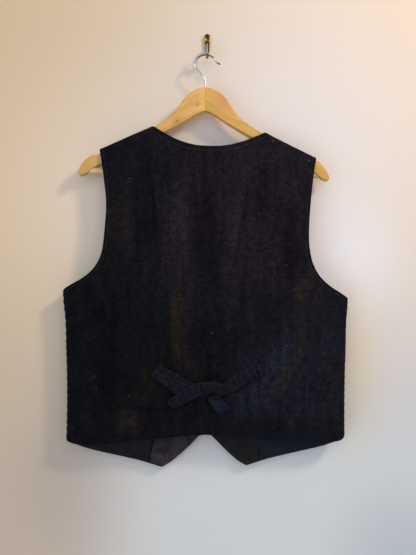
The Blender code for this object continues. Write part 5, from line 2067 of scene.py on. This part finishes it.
class WAISTCOAT_OT_wall_hook(bpy.types.Operator):
    """Model the brass wall hook and its two screws"""
    bl_idname = "waistcoat.wall_hook"
    bl_label = "Wall hook"

    def execute(self, context):
        hook = combine(build_plate(), build_prong(), "UNION")
        finish_piece(hook, "brass", ("wall_hook",), 40)
        for place, height, slot_deg in (("upper", SCREW_HEIGHT, 24.0), ("lower", -SCREW_HEIGHT, 71.0)):
            screw = build_screw(f"screw_{place}", height, slot_deg)
            finish_piece(screw, "steel", (f"wall_hook_screw_{place}",), 40)
        return {"FINISHED"}


class WAISTCOAT_OT_stage(bpy.types.Operator):
    """Set the wall, floor, lights and camera"""
    bl_idname = "waistcoat.stage"
    bl_label = "Stage"

    def execute(self, context):
        build_stage()
        return {"FINISHED"}


class WAISTCOAT_PT_panel(bpy.types.Panel):
    """Settings and steps of the waistcoat"""
    bl_idname = "WAISTCOAT_PT_panel"
    bl_label = "Velveteen Waistcoat"
    bl_space_type = "VIEW_3D"
    bl_region_type = "UI"
    bl_category = "Waistcoat"

    def draw(self, context):
        column = self.layout.column(align=True)
        for operator in OPERATORS:
            column.operator(operator.bl_idname)
        for name in SETTINGS:
            box = self.layout.box()
            settings = getattr(context.scene, name)
            for field in settings.__annotations__:
                box.prop(settings, field)


SETTINGS = {
    "waistcoat_cloth": ClothSettings,
    "waistcoat_hanger": HangerSettings,
    "waistcoat_wall_hook": WallHookSettings,
    "waistcoat_stage": StageSettings,
}
OPERATORS = (
    WAISTCOAT_OT_hanger, WAISTCOAT_OT_wire, WAISTCOAT_OT_wall_hook, WAISTCOAT_OT_stitching,
    WAISTCOAT_OT_lint, WAISTCOAT_OT_embroidery, WAISTCOAT_OT_back, WAISTCOAT_OT_fronts,
    WAISTCOAT_OT_belt, WAISTCOAT_OT_buttons, WAISTCOAT_OT_stage,
)


def register():
    for name, settings in SETTINGS.items():
        bpy.utils.register_class(settings)
        setattr(bpy.types.Scene, name, PointerProperty(type=settings))
    for operator in OPERATORS:
        bpy.utils.register_class(operator)
    bpy.utils.register_class(WAISTCOAT_PT_panel)


def unregister():
    bpy.utils.unregister_class(WAISTCOAT_PT_panel)
    for operator in reversed(OPERATORS):
        bpy.utils.unregister_class(operator)
    for name, settings in reversed(SETTINGS.items()):
        delattr(bpy.types.Scene, name)
        bpy.utils.unregister_class(settings)


def main():
    register()
    bpy.ops.waistcoat.hanger()
    bpy.ops.waistcoat.wire()
    bpy.ops.waistcoat.wall_hook()
    bpy.ops.waistcoat.stitching()
    bpy.ops.waistcoat.lint()
    bpy.ops.waistcoat.embroidery()
    bpy.ops.waistcoat.back()
    bpy.ops.waistcoat.fronts()
    bpy.ops.waistcoat.belt()
    bpy.ops.waistcoat.buttons()
    bpy.ops.waistcoat.stage()


if __name__ == "__main__":
    main()
